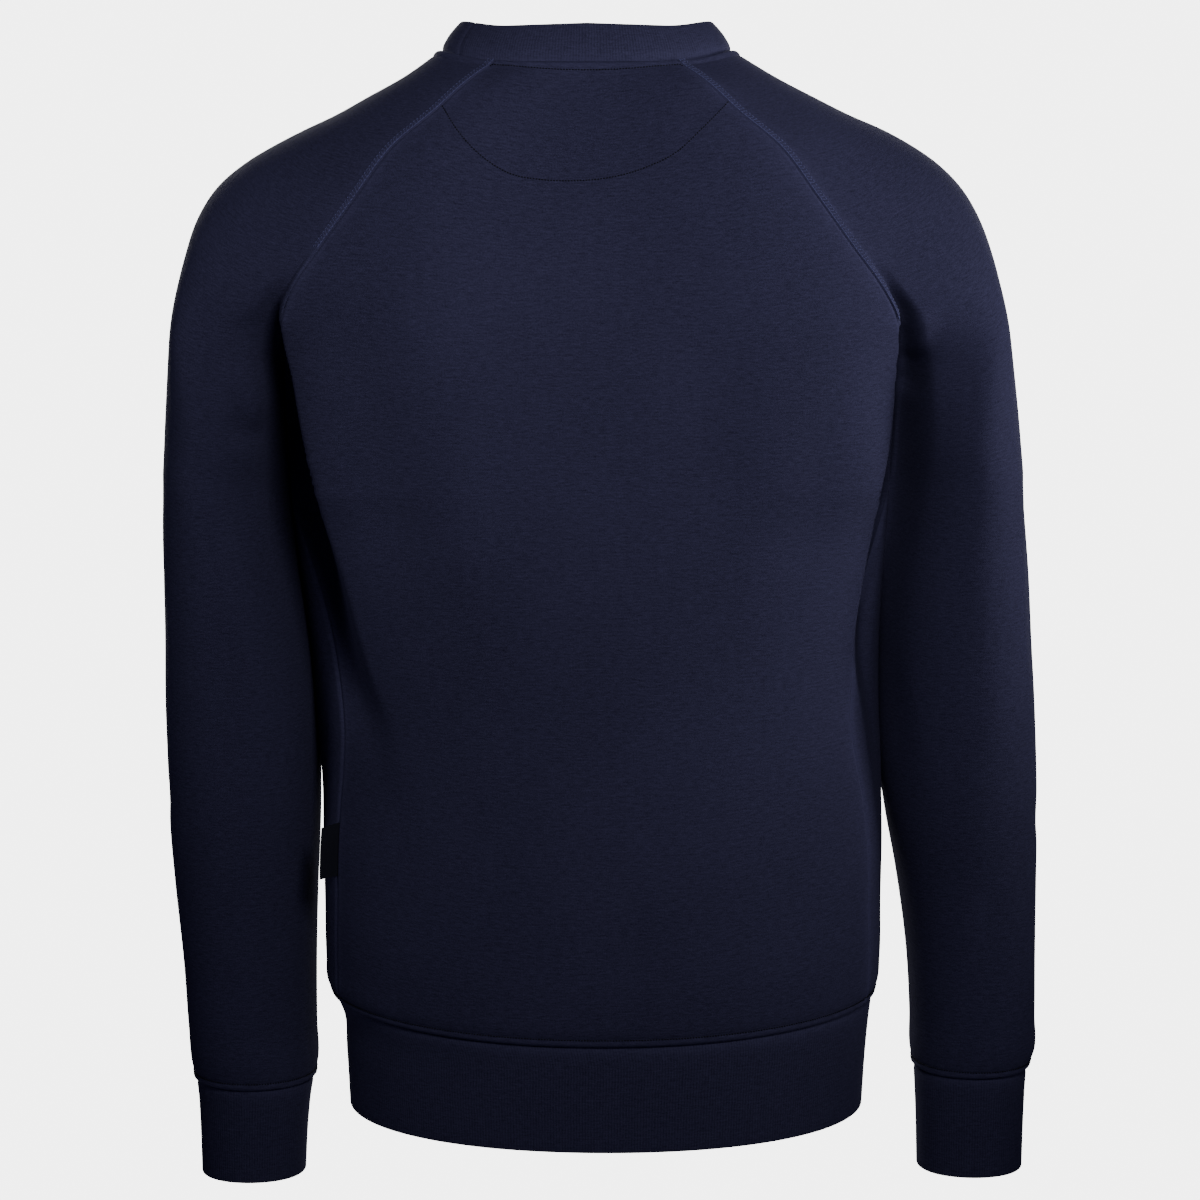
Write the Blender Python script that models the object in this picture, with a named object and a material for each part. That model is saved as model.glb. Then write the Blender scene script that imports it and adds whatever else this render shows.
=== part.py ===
"""Crew-neck sweatshirt with raglan sleeves, filled out as it is when worn.

Lengths are in metres and angles in degrees. +Z is up, the garment's front faces -Y
and its left side is +X. The origin lies in the middle of the neck opening, level with
the points where the neck meets the shoulders.

All the cloth is first laid out as one sewn sheet of quads. Every row runs round the
garment or round a sleeve, and the rows are stacked upwards. The sheet is then parted
at its seams, and each piece gets its own thickness inwards.
"""

import bpy
import numpy as np

# Cloth
CLOTH = 0.0020  # one layer of brushed sweatshirt jersey
RIB = 0.0030  # doubled rib of the neckband, hem band and cuffs
SEAM_GAP = 0.0003  # between two pieces that are sewn together
WELT_WIDTH = 0.0075  # stitched-down seam allowance beside a band
WELT_HEIGHT = 0.0009

# Fineness: how many quads each piece has round the body or sleeve, and upwards
BACK_COLUMNS = 24
FRONT_COLUMNS = 22
SLEEVE_COLUMNS = 24
YOKE_ROWS = 13  # neck to underarm
TRUNK_ROWS = 12  # underarm to hem band
ARM_ROWS = 13  # underarm to cuff
BAND_STEPS = (0.0, 0.5, 0.85, 1.0)  # free edge to seam, as a share of a band's height

# Levels
UNDERARM_Z = -0.265
HEM_SEAM_Z = (-0.6040, -0.6134, -0.6100)  # at the sides, the back and the front
HEM_Z = -0.6790
CUFF_SEAM_Z = {"left": -0.6715, "right": -0.6635}
CUFF_Z = {"left": -0.7350, "right": -0.7315}

# Curves that run from the neck seam down to the level of the underarm.
# Columns: distance from the middle on the left, the same on the right, y, z.
BACK_RAGLAN = (
    (0.0555, 0.0545, 0.0635, 0.0010),
    (0.0745, 0.0742, 0.0790, -0.0120),
    (0.0925, 0.0920, 0.0890, -0.0280),
    (0.1195, 0.1190, 0.0970, -0.0505),
    (0.1415, 0.1410, 0.1000, -0.0800),
    (0.1640, 0.1632, 0.0995, -0.1111),
    (0.1800, 0.1800, 0.0955, -0.1340),
    (0.1880, 0.1910, 0.0870, -0.1540),
    (0.1910, 0.1948, 0.0710, -0.1800),
    (0.1915, 0.1952, 0.0500, -0.2150),
    (0.1910, 0.1944, 0.0290, -0.2450),
    (0.1900, 0.1930, 0.0120, -0.2650),
)
FRONT_RAGLAN = (
    (0.0630, 0.0625, -0.0640, -0.0545),
    (0.0800, 0.0795, -0.0790, -0.0670),
    (0.1010, 0.1005, -0.0910, -0.0850),
    (0.1230, 0.1230, -0.0980, -0.1060),
    (0.1440, 0.1445, -0.0995, -0.1350),
    (0.1630, 0.1640, -0.0940, -0.1660),
    (0.1780, 0.1800, -0.0800, -0.1980),
    (0.1870, 0.1895, -0.0580, -0.2270),
    (0.1905, 0.1930, -0.0300, -0.2480),
    (0.1905, 0.1935, -0.0070, -0.2600),
    (0.1900, 0.1930, 0.0120, -0.2650),
)
SHOULDER = (
    (0.0925, 0.0915, 0.003, 0.0030),
    (0.1158, 0.1190, 0.002, -0.0135),
    (0.1374, 0.1420, 0.001, -0.0250),
    (0.1590, 0.1660, 0.000, -0.0366),
    (0.1787, 0.1870, -0.001, -0.0456),
    (0.1990, 0.2060, -0.002, -0.0560),
    (0.2150, 0.2200, -0.002, -0.0655),
    (0.2362, 0.2382, -0.003, -0.0837),
    (0.2478, 0.2492, -0.003, -0.1028),
    (0.2540, 0.2560, -0.003, -0.1218),
    (0.2585, 0.2607, -0.003, -0.1409),
    (0.2642, 0.2680, -0.003, -0.1792),
    (0.2681, 0.2737, -0.004, -0.2177),
    (0.2712, 0.2783, -0.004, -0.2600),
)
SPINE = (
    (0.0, 0.0, 0.0735, 0.0010),
    (0.0, 0.0, 0.0880, -0.0300),
    (0.0, 0.0, 0.0985, -0.0600),
    (0.0, 0.0, 0.1120, -0.1150),
    (0.0, 0.0, 0.1190, -0.1800),
    (0.0, 0.0, 0.1180, -0.2650),
)
CHEST = (
    (0.0, 0.0, -0.0880, -0.0800),
    (0.0, 0.0, -0.0985, -0.1000),
    (0.0, 0.0, -0.1090, -0.1300),
    (0.0, 0.0, -0.1185, -0.1700),
    (0.0, 0.0, -0.1235, -0.2150),
    (0.0, 0.0, -0.1235, -0.2650),
)

# How the cloth leaves the raglan seams, by the share of the way from neck to underarm.
# Headings are seen from above, from straight outwards (0) to straight back or front (90).
# Pulls are Bezier handles, as shares of the line from the seam to the row's middle.
# The neck dips at the front: slopes of the rows at the front seams and at the shoulder.
YOKE_COLUMNS = (
    "down",
    "body_heading",
    "sleeve_heading",
    "body_pull",
    "middle_pull",
    "seam_pull",
    "crown_pull",
    "front_gain",
    "front_dip",
    "crown_dip",
)
YOKE = (
    (0.00, 152, -30, 0.34, 0.42, 0.36, 0.42, 1.00, 0.62, 0.22),
    (0.15, 154, -27, 0.34, 0.42, 0.36, 0.44, 1.00, 0.40, 0.13),
    (0.35, 155, -26, 0.34, 0.42, 0.38, 0.48, 1.00, 0.12, 0.03),
    (0.50, 149, -26, 0.33, 0.44, 0.42, 0.56, 1.00, 0.00, 0.00),
    (0.62, 136, -8, 0.33, 0.50, 0.55, 0.71, 1.00, 0.00, 0.00),
    (0.72, 120, 18, 0.33, 0.56, 0.76, 0.86, 1.01, 0.00, 0.00),
    (0.82, 106, 42, 0.35, 0.60, 0.89, 0.98, 1.04, 0.00, 0.00),
    (0.92, 95, 58, 0.385, 0.63, 1.05, 1.09, 1.12, 0.00, 0.00),
    (1.00, 90, 64, 0.417, 0.642, 1.19, 1.19, 1.19, 0.00, 0.00),
)

# Sides of the body. The widest point lies y behind the middle, and the side seam lies
# seam_back behind that. Roundness is a Bezier handle: 0.55 is an ellipse, more is squarer.
SIDE_COLUMNS = ("z", "left", "right", "y", "seam_back", "side_round", "middle_round")
SIDES = (
    (-0.6040, 0.1640, 0.1850, -0.002, 0.045, 0.60, 0.62),
    (-0.5950, 0.1690, 0.1886, -0.002, 0.045, 0.60, 0.62),
    (-0.5800, 0.1700, 0.1897, -0.002, 0.045, 0.60, 0.61),
    (-0.5400, 0.1700, 0.1897, -0.001, 0.044, 0.59, 0.60),
    (-0.5000, 0.1702, 0.1895, 0.000, 0.042, 0.58, 0.60),
    (-0.4700, 0.1697, 0.1885, 0.004, 0.036, 0.58, 0.60),
    (-0.4500, 0.1696, 0.1878, 0.011, 0.030, 0.58, 0.60),
    (-0.4200, 0.1740, 0.1876, 0.022, 0.022, 0.60, 0.61),
    (-0.3900, 0.1782, 0.1882, 0.030, 0.014, 0.64, 0.63),
    (-0.3500, 0.1826, 0.1893, 0.036, 0.008, 0.71, 0.66),
    (-0.3100, 0.1868, 0.1912, 0.036, 0.003, 0.78, 0.69),
    (-0.2850, 0.1890, 0.1924, 0.027, 0.001, 0.83, 0.72),
    (-0.2650, 0.1900, 0.1930, 0.012, 0.000, 0.86, 0.74),
)
MIDDLE_COLUMNS = ("z", "x", "back", "front")
MIDDLES = (
    (-0.6134, -0.0110, 0.1170, -0.1125),
    (-0.6040, -0.0110, 0.1205, -0.1160),
    (-0.5900, -0.0105, 0.1212, -0.1170),
    (-0.5500, -0.0095, 0.1185, -0.1165),
    (-0.5000, -0.0085, 0.1145, -0.1165),
    (-0.4500, -0.0070, 0.1115, -0.1175),
    (-0.4000, -0.0050, 0.1105, -0.1190),
    (-0.3500, -0.0030, 0.1125, -0.1210),
    (-0.3000, -0.0010, 0.1158, -0.1230),
    (-0.2650, 0.0000, 0.1180, -0.1235),
)
HEM_BAND = (  # columns: share of the way from free edge to seam, left, right, back, front
    (0.00, 0.1553, 0.1790, 0.1140, -0.1085),
    (0.50, 0.1572, 0.1812, 0.1152, -0.1098),
    (0.85, 0.1592, 0.1836, 0.1160, -0.1108),
)

# Sleeves below the underarm: the outer line, the line of the underarm seam, how deep the
# back and front halves are, and how sharp the fold along the underarm seam is
ARM_COLUMNS = (
    "z",
    "outer_left",
    "outer_right",
    "inner_left",
    "inner_right",
    "outer_y",
    "inner_y",
    "back_depth",
    "front_depth",
    "fold",
)
ARMS = (
    (-0.6680, 0.2588, 0.2900, 0.1812, 0.2155, -0.038, -0.041, 0.0435, 0.0435, 0),
    (-0.6580, 0.2612, 0.2942, 0.1788, 0.2133, -0.037, -0.040, 0.0475, 0.0475, 0),
    (-0.6311, 0.2632, 0.2944, 0.1790, 0.2125, -0.034, -0.039, 0.0500, 0.0500, 0),
    (-0.5909, 0.2652, 0.2938, 0.1787, 0.2100, -0.031, -0.037, 0.0530, 0.0530, 0),
    (-0.5311, 0.2702, 0.2934, 0.1768, 0.2018, -0.027, -0.035, 0.0570, 0.0570, 0),
    (-0.4913, 0.2726, 0.2931, 0.1749, 0.1944, -0.023, -0.034, 0.0600, 0.0600, 0),
    (-0.4517, 0.2729, 0.2914, 0.1746, 0.1892, -0.019, -0.034, 0.0645, 0.0640, 0),
    (-0.4123, 0.2733, 0.2893, 0.1757, 0.1879, -0.015, -0.031, 0.0680, 0.0675, 1),
    (-0.3731, 0.2729, 0.2868, 0.1788, 0.1880, -0.011, -0.026, 0.0712, 0.0710, 3),
    (-0.3340, 0.2734, 0.2843, 0.1832, 0.1889, -0.008, -0.018, 0.0740, 0.0758, 8),
    (-0.2951, 0.2729, 0.2812, 0.1875, 0.1910, -0.006, -0.005, 0.0752, 0.0815, 16),
    (-0.2640, 0.2712, 0.2783, 0.1900, 0.1930, -0.004, 0.012, 0.0740, 0.0850, 26),
)
CUFF_COLUMNS = (
    "up",
    "outer_left",
    "outer_right",
    "inner_left",
    "inner_right",
    "outer_y",
    "inner_y",
    "depth",
)
CUFFS = (
    (0.00, 0.2562, 0.2880, 0.1874, 0.2183, -0.041, -0.043, 0.0375),
    (0.50, 0.2568, 0.2886, 0.1855, 0.2173, -0.040, -0.042, 0.0390),
    (0.85, 0.2578, 0.2894, 0.1830, 0.2161, -0.039, -0.041, 0.0412),
)

# Neckband, by the way it faces: how far it leans in and how tall it is along its face
NECK_COLUMNS = ("facing", "lean", "height")
NECKBAND = (
    (-90, 34, 0.0240),
    (-45, 38, 0.0250),
    (0, 41, 0.0270),
    (45, 27, 0.0245),
    (90, 16, 0.0232),
)
NECK_BULGE = 0.0012

# Largest folds of the cloth, as soft ridges (+) and troughs (-): the face they lie on,
# how wide and how high they are, and their line as (across, z) points
FOLDS = (
    # crests that run down the back panel from the ends of the raglan seams
    (1, 0.012, 0.0032, ((0.1860, -0.150), (0.1800, -0.205), (0.1740, -0.245), (0.1640, -0.283))),
    (1, 0.013, 0.0036, ((0.1700, -0.262), (0.1550, -0.312), (0.1415, -0.356), (0.1260, -0.402))),
    (1, 0.012, 0.0030, ((-0.1915, -0.155), (-0.1900, -0.215), (-0.1860, -0.262), (-0.1775, -0.305))),
    (1, 0.012, 0.0030, ((-0.1840, -0.275), (-0.1670, -0.347), (-0.1720, -0.390), (-0.1780, -0.425))),
    # hollows beside those crests
    (1, 0.012, -0.0040, ((0.1850, -0.235), (0.1790, -0.278), (0.1690, -0.322), (0.1560, -0.375))),
    (1, 0.010, -0.0034, ((-0.1930, -0.255), (-0.1890, -0.300), (-0.1830, -0.350))),
    # creases that run up and outwards from the armpits
    (1, 0.008, -0.0030, ((-0.1960, -0.212), (-0.2050, -0.195), (-0.2150, -0.174))),
    (1, 0.009, 0.0026, ((-0.1960, -0.190), (-0.2020, -0.170), (-0.2090, -0.148))),
    (1, 0.009, -0.0028, ((0.1960, -0.200), (0.2060, -0.180), (0.2140, -0.150))),
    (1, 0.009, 0.0024, ((0.2000, -0.225), (0.2130, -0.206), (0.2240, -0.182))),
    # the same on the front
    (-1, 0.014, 0.0034, ((0.1760, -0.190), (0.1680, -0.240), (0.1550, -0.290), (0.1400, -0.345))),
    (-1, 0.014, 0.0034, ((-0.1780, -0.190), (-0.1720, -0.240), (-0.1620, -0.290), (-0.1500, -0.345))),
    (-1, 0.013, -0.0036, ((0.1840, -0.225), (0.1800, -0.270), (0.1700, -0.320), (0.1580, -0.370))),
    (-1, 0.013, -0.0036, ((-0.1870, -0.225), (-0.1830, -0.270), (-0.1760, -0.320), (-0.1680, -0.370))),
    (-1, 0.012, -0.0030, ((0.1980, -0.222), (0.2130, -0.200), (0.2290, -0.172))),
    (-1, 0.012, -0.0030, ((-0.2010, -0.222), (-0.2170, -0.198), (-0.2330, -0.170))),
    # bends inside the elbows
    (-1, 0.012, -0.0030, ((0.1900, -0.432), (0.2150, -0.422), (0.2430, -0.406))),
    (-1, 0.012, -0.0030, ((-0.2050, -0.436), (-0.2320, -0.424), (-0.2620, -0.412))),
)

# Woven label in the left side seam
LABEL_TOP_Z = -0.4850
LABEL_HEIGHT = 0.0340
LABEL_REACH = 0.0120
LABEL_DROOP = 0.0030
LABEL_THICKNESS = 0.0014
LABEL_CLEARANCE = 0.0004

NAVY = (0.0116, 0.0123, 0.0273, 1.0)
RIB_NAVY = (0.0103, 0.0110, 0.0250, 1.0)
LABEL_NAVY = (0.0060, 0.0065, 0.0140, 1.0)


def smooth(table, names, name, at):
    """One named column of a table, read smoothly at any value of its first column."""
    rows = np.array(table, dtype=float)
    keys = rows[:, 0]
    values = rows[:, names.index(name)]
    slopes = np.gradient(values, keys)
    place = np.clip(np.asarray(at, dtype=float), keys[0], keys[-1])
    low = np.clip(np.searchsorted(keys, place) - 1, 0, len(keys) - 2)
    span = keys[low + 1] - keys[low]
    t = (place - keys[low]) / span
    start = (1 + 2 * t) * (1 - t) ** 2 * values[low] + t**2 * (3 - 2 * t) * values[low + 1]
    return start + span * (t * (1 - t) ** 2 * slopes[low] - t**2 * (1 - t) * slopes[low + 1])


def evenly(line, shares):
    """Points at the given shares of a line's length."""
    steps = np.linalg.norm(np.diff(line, axis=0), axis=1)
    along = np.concatenate([[0.0], np.cumsum(steps)])
    wanted = np.asarray(shares) * along[-1]
    return np.stack([np.interp(wanted, along, line[:, axis]) for axis in range(3)], axis=1)


def bezier(start, start_pull, end_pull, end, count=48):
    """Points of a cubic Bezier; the pulls are its handles as offsets from the two ends."""
    t = np.linspace(0.0, 1.0, count)[:, None]
    a = np.asarray(start, dtype=float)
    d = np.asarray(end, dtype=float)
    b = a + start_pull
    c = d + end_pull
    return (1 - t) ** 3 * a + 3 * t * (1 - t) ** 2 * b + 3 * t**2 * (1 - t) * c + t**3 * d


def run_of(table, side, share):
    """Point of a neck-to-underarm curve at a share of its length, on the left or right."""
    rows = np.array(table)
    line = np.stack([rows[:, 0] if side == "left" else -rows[:, 1], rows[:, 2], rows[:, 3]], axis=1)
    chords = np.linalg.norm(np.diff(line, axis=0), axis=1)
    along = np.concatenate([[0.0], np.cumsum(chords)])
    along /= along[-1]
    keyed = np.column_stack([along, line])
    return np.array([smooth(keyed, ("along", "x", "y", "z"), name, share) for name in ("x", "y", "z")])


def outward(side):
    """+1 on the left side of the garment and -1 on its right side."""
    return 1.0 if side == "left" else -1.0


def heading(side, face, degrees):
    """Level direction from straight outwards (0) through straight back or front (90)."""
    angle = np.radians(degrees)
    return np.array([outward(side) * np.cos(angle), face * np.sin(angle), 0.0])


def yoke_read(share, *names):
    """Named settings of the yoke at a share of the way from neck to underarm."""
    return [float(smooth(YOKE, YOKE_COLUMNS, name, share)) for name in names]


def yoke_body_row(face, share, shares):
    """Row of the back (face 1) or front (face -1) between its raglan seams, left to right."""
    raglan, middle_run = (BACK_RAGLAN, SPINE) if face > 0 else (FRONT_RAGLAN, CHEST)
    middle = run_of(middle_run, "left", share)
    turn, pull, flat = yoke_read(share, "body_heading", "body_pull", "middle_pull")
    gain, dip = yoke_read(share, "front_gain", "front_dip") if face < 0 else (1.0, 0.0)
    fall = np.array([0.0, 0.0, -dip])
    halves = []
    for side in ("left", "right"):
        seam = run_of(raglan, side, share)
        reach = np.linalg.norm(middle - seam)
        seam_pull = (heading(side, face, turn) + fall) * pull * gain * reach
        middle_pull = np.array([outward(side) * flat * reach, 0.0, 0.0])
        halves.append(bezier(seam, seam_pull, middle_pull, middle))
    return evenly(np.vstack([halves[0], halves[1][-2::-1]]), shares)


def yoke_sleeve_row(side, share, shares):
    """Row of a sleeve from its back seam over the shoulder line to its front seam."""
    crown = run_of(SHOULDER, side, share)
    turn, pull, top, gain = yoke_read(share, "sleeve_heading", "seam_pull", "crown_pull", "front_gain")
    dip, crown_dip = yoke_read(share, "front_dip", "crown_dip")
    halves = []
    for face, raglan in ((1, BACK_RAGLAN), (-1, FRONT_RAGLAN)):
        seam = run_of(raglan, side, share)
        span = run_of(SHOULDER, "left", share) - run_of(raglan, "left", share)
        reach = np.linalg.norm(span) * (gain if face < 0 else 1.0)
        rise = np.array([0.0, 0.0, dip if face < 0 else 0.0])
        seam_pull = (heading(side, face, turn) + rise) * pull * reach
        crown_pull = np.array([0.0, face, face * crown_dip]) * top * reach
        halves.append(evenly(bezier(seam, seam_pull, crown_pull, crown), shares))
    return np.vstack([halves[0], halves[1][-2::-1]])


def body_ring(z_side, widths, y_side, z_middles, middles, middle_x, roundness):
    """Closed ring round the body: dense points from the left side over the back and front."""
    quarters = []
    for face, z_middle, y_middle in ((1, z_middles[0], middles[0]), (-1, z_middles[1], middles[1])):
        middle = np.array([middle_x, y_middle, z_middle])
        for side, width in (("left", widths[0]), ("right", widths[1])):
            corner = np.array([outward(side) * width, y_side, z_side])
            side_pull = np.array([0.0, roundness[0] * (y_middle - y_side), 0.0])
            middle_pull = np.array([roundness[1] * (corner[0] - middle_x), 0.0, 0.0])
            quarters.append(bezier(corner, side_pull, middle_pull, middle))
    back_left, back_right, front_left, front_right = quarters
    return np.vstack([back_left, back_right[-2::-1], front_right[1:], front_left[-2::-1]])


def split_ring(ring, seam_back):
    """Back and front rows of a body ring, parted at the two side seams."""
    steps = np.linalg.norm(np.diff(ring, axis=0), axis=1)
    total = steps.sum()
    right = np.argmin(ring[:, 0])
    to_right = steps[:right].sum()
    back = (seam_back + (to_right - 2 * seam_back) * np.linspace(0, 1, BACK_COLUMNS + 1)) / total
    front_length = total - to_right + 2 * seam_back
    front = (to_right - seam_back + front_length * np.linspace(0, 1, FRONT_COLUMNS + 1)) / total
    return evenly(ring, back), evenly(np.vstack([ring, ring[1:]]), front / 2.0)


def trunk_rows(up):
    """Back and front rows at a share of the way up from the hem seam to the underarm."""
    z_side, z_back, z_front = (level + (UNDERARM_Z - level) * up for level in HEM_SEAM_Z)
    left, right, y_side, seam_back, side_round, middle_round = (
        float(smooth(SIDES, SIDE_COLUMNS, name, z_side)) for name in SIDE_COLUMNS[1:]
    )
    middle_x, back, front = (
        float(smooth(MIDDLES, MIDDLE_COLUMNS, name, z_back)) for name in MIDDLE_COLUMNS[1:]
    )
    roundness = (side_round, middle_round)
    levels = (z_back, z_front)
    ring = body_ring(z_side, (left, right), y_side, levels, (back, front), middle_x, roundness)
    return split_ring(ring, seam_back)


def hem_band_ring(up, seam_rows):
    """Ring of the hem band at a share of the way up from its folded edge to its seam."""
    if up == 1.0:
        return np.vstack([seam_rows[0], seam_rows[1][1:]])
    names = ("up", "left", "right", "back", "front")
    left, right, back, front = (float(smooth(HEM_BAND, names, name, up)) for name in names[1:])
    z_side, z_back, z_front = (HEM_Z + (level - HEM_Z) * up for level in HEM_SEAM_Z)
    ring = body_ring(z_side, (left, right), -0.002, (z_back, z_front), (back, front), -0.0125, (0.60, 0.62))
    rows = split_ring(ring, 0.045)
    return np.vstack([rows[0], rows[1][1:]])


def arm_ring(side, z, table, names, at, fold, shares):
    """Ring of a sleeve or cuff from the underarm line over its back, outside and front."""
    def read(name):
        return float(smooth(table, names, name, at))

    inner = np.array([outward(side) * read("inner_" + side), read("inner_y"), z])
    outer = np.array([outward(side) * read("outer_" + side), read("outer_y"), z])
    depths = [read(name) for name in names if name.endswith("depth")]
    halves = []
    for face, depth in ((1, depths[0] * 4 / 3), (-1, depths[-1] * 4 / 3)):
        start_pull = heading(side, face, 90 - fold) * depth
        half = bezier(inner, start_pull, np.array([0.0, face * depth, 0.0]), outer)
        halves.append(evenly(half, shares))
    return np.vstack([halves[0], halves[1][-2::-1]])


def welt(distance):
    """How far the stitched-down allowance stands up, at a distance from its seam."""
    share = np.clip(np.asarray(distance) / WELT_WIDTH, 0.0, 1.0)
    return WELT_HEIGHT * np.sin(np.pi * share**0.8)


def row_places(length, count):
    """Distances of rows from a seam with a welt: four close ones, then even ones."""
    close = np.array([0.0, 0.35, 0.70, 1.05]) * WELT_WIDTH
    return np.concatenate([close, np.linspace(close[-1], length, count + 1)[1:]])


def sewn_sheet():
    """Grid of points and grid of welt heights for every piece, rows from the bottom up."""
    halves = np.linspace(0, 1, SLEEVE_COLUMNS // 2 + 1)
    grids = {}

    down = row_places(0.345, YOKE_ROWS)[::-1] / 0.345
    lifts = welt(down * 0.345)
    body_shares = {1: np.linspace(0, 1, BACK_COLUMNS + 1), -1: np.linspace(0, 1, FRONT_COLUMNS + 1)}
    yoke_back = np.array([yoke_body_row(1, share, body_shares[1]) for share in down])
    yoke_front = np.array([yoke_body_row(-1, share, body_shares[-1])[::-1] for share in down])

    trunk_length = UNDERARM_Z - HEM_SEAM_Z[0]
    up = row_places(trunk_length, TRUNK_ROWS) / trunk_length
    trunk = [trunk_rows(share) for share in up]
    trunk_back = np.array([rows[0] for rows in trunk])
    trunk_front = np.array([rows[1] for rows in trunk])
    trunk_back[-1] = yoke_back[0]
    trunk_front[-1] = yoke_front[0]
    trunk_front[:, 0] = trunk_back[:, -1]
    trunk_front[:, -1] = trunk_back[:, 0]
    body_lift = np.concatenate([welt(up[:-1] * trunk_length), lifts])
    grids["back"] = [(np.vstack([trunk_back[:-1], yoke_back]), body_lift)]
    grids["front"] = [(np.vstack([trunk_front[:-1], yoke_front]), body_lift)]

    tops = {}
    for side in ("left", "right"):
        yoke = np.array([yoke_sleeve_row(side, share, halves) for share in down])
        column = {"left": 0, "right": -1}[side]
        yoke[:, 0] = yoke_back[:, column]
        yoke[:, -1] = yoke_front[:, -1 - column]
        length = UNDERARM_Z - CUFF_SEAM_Z[side]
        places = row_places(length, ARM_ROWS)
        rings = []
        for place in places[:-1]:
            z = CUFF_SEAM_Z[side] + place
            table_z = -0.6680 + place * (0.6680 - 0.2640) / length
            fold = float(smooth(ARMS, ARM_COLUMNS, "fold", table_z))
            rings.append(arm_ring(side, z, ARMS, ARM_COLUMNS, table_z, fold, halves))
        sleeve = np.vstack([np.array(rings), yoke])
        cuff_height = CUFF_SEAM_Z[side] - CUFF_Z[side]
        cuff = [
            arm_ring(side, CUFF_Z[side] + cuff_height * share, CUFFS, CUFF_COLUMNS, share, 0, halves)
            for share in BAND_STEPS[:-1]
        ]
        cuff = np.array(cuff + [rings[0]])
        if side == "left":
            sleeve = sleeve[:, ::-1]
            cuff = cuff[:, ::-1]
        grids["sleeve_" + side] = [(sleeve, np.concatenate([welt(places[:-1]), lifts]))]
        grids["cuff_" + side] = [(cuff, np.zeros(len(cuff)))]
        tops[side] = sleeve[-1]

    hem = np.array([hem_band_ring(share, (trunk_back[0], trunk_front[0])) for share in BAND_STEPS])
    grids["hem_band"] = [(hem, np.zeros(len(hem)))]
    neck_seam = np.vstack([yoke_back[-1], tops["right"][1:], yoke_front[-1][1:], tops["left"][1:]])
    grids["neckband"] = [(neckband_rows(neck_seam), np.zeros(len(BAND_STEPS)))]
    return grids


def neckband_rows(seam):
    """Rows of the neckband, from its seam up to its folded edge."""
    facing = np.degrees(np.arctan2(seam[:, 1], np.abs(seam[:, 0])))
    lean = np.radians(smooth(NECKBAND, NECK_COLUMNS, "lean", facing))
    height = smooth(NECKBAND, NECK_COLUMNS, "height", facing)
    inwards = -seam[:, :2] / np.linalg.norm(seam[:, :2], axis=1)[:, None]
    rows = []
    for share in 1.0 - np.array(BAND_STEPS[::-1]):
        rise = height * share
        bulge = NECK_BULGE * np.sin(np.pi * share)
        level = (rise * np.sin(lean) - bulge * np.cos(lean))[:, None] * inwards
        rows.append(seam + np.column_stack([level, rise * np.cos(lean) + bulge * np.sin(lean)]))
    return np.array(rows)


def weld(grids):
    """Joins the grids where they meet: shared points, welt heights, and quads by piece."""
    flat = [(name, points, lift) for name, parts in grids.items() for points, lift in parts]
    everything = np.vstack([points.reshape(-1, 3) for _, points, _ in flat])
    lifts = np.concatenate([np.repeat(lift, points.shape[1]) for _, points, lift in flat])
    _, first, index = np.unique(np.round(everything, 7), axis=0, return_index=True, return_inverse=True)
    index = index.reshape(-1)
    quads = {name: [] for name in grids}
    start = 0
    for name, points, _ in flat:
        rows, columns = points.shape[:2]
        grid = index[start : start + rows * columns].reshape(rows, columns)
        start += rows * columns
        corners = (grid[:-1, :-1], grid[:-1, 1:], grid[1:, 1:], grid[1:, :-1])
        quads[name].append(np.stack(corners, axis=-1).reshape(-1, 4))
    return everything[first], lifts[first], {name: np.vstack(parts) for name, parts in quads.items()}


def unit(vectors):
    """Vectors scaled to length one."""
    return vectors / np.maximum(np.linalg.norm(vectors, axis=-1, keepdims=True), 1e-12)


def sheet_normals(points, quads):
    """Outward direction at every point of the sewn sheet, weighted by corner angles."""
    corners = points[quads]
    faces = unit(np.cross(corners[:, 2] - corners[:, 0], corners[:, 3] - corners[:, 1]))
    normals = np.zeros_like(points)
    for corner in range(4):
        ahead = unit(corners[:, (corner + 1) % 4] - corners[:, corner])
        behind = unit(corners[:, (corner + 3) % 4] - corners[:, corner])
        angle = np.arccos(np.clip((ahead * behind).sum(axis=1), -1.0, 1.0))
        np.add.at(normals, quads[:, corner], faces * angle[:, None])
    return unit(normals)


def along_the_bends(quads, normals):
    """Quads turned so that each is split along the diagonal that bends the least."""
    a, b, c, d = (normals[quads[:, corner]] for corner in range(4))
    other = (b * d).sum(axis=1) > (a * c).sum(axis=1) + 1e-6
    return np.where(other[:, None], np.roll(quads, -1, axis=1), quads)


def fold_heights(points, normals):
    """Height of the large folds at every point of the sewn sheet."""
    heights = np.zeros(len(points))
    for face, width, height, line in FOLDS:
        seen = np.clip((normals[:, 1] * face + 0.25) / 0.5, 0.0, 1.0)
        path = np.array(line)
        flat = points[:, [0, 2]]
        lengths = np.linalg.norm(np.diff(path, axis=0), axis=1)
        best = np.full(len(points), np.inf)
        along = np.zeros(len(points))
        for index, length in enumerate(lengths):
            direction = (path[index + 1] - path[index]) / length
            reach = np.clip((flat - path[index]) @ direction, 0.0, length)
            distance = np.linalg.norm(flat - path[index] - reach[:, None] * direction, axis=1)
            closer = distance < best
            best = np.where(closer, distance, best)
            along = np.where(closer, lengths[:index].sum() + reach, along)
        share = along / lengths.sum()
        fade = np.clip(np.minimum(share, 1.0 - share) / 0.3, 0.0, 1.0)
        fade = 0.15 + 0.85 * fade * fade * (3 - 2 * fade)
        heights += height * fade * np.exp(-((best / width) ** 2)) * seen
    return heights


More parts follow.
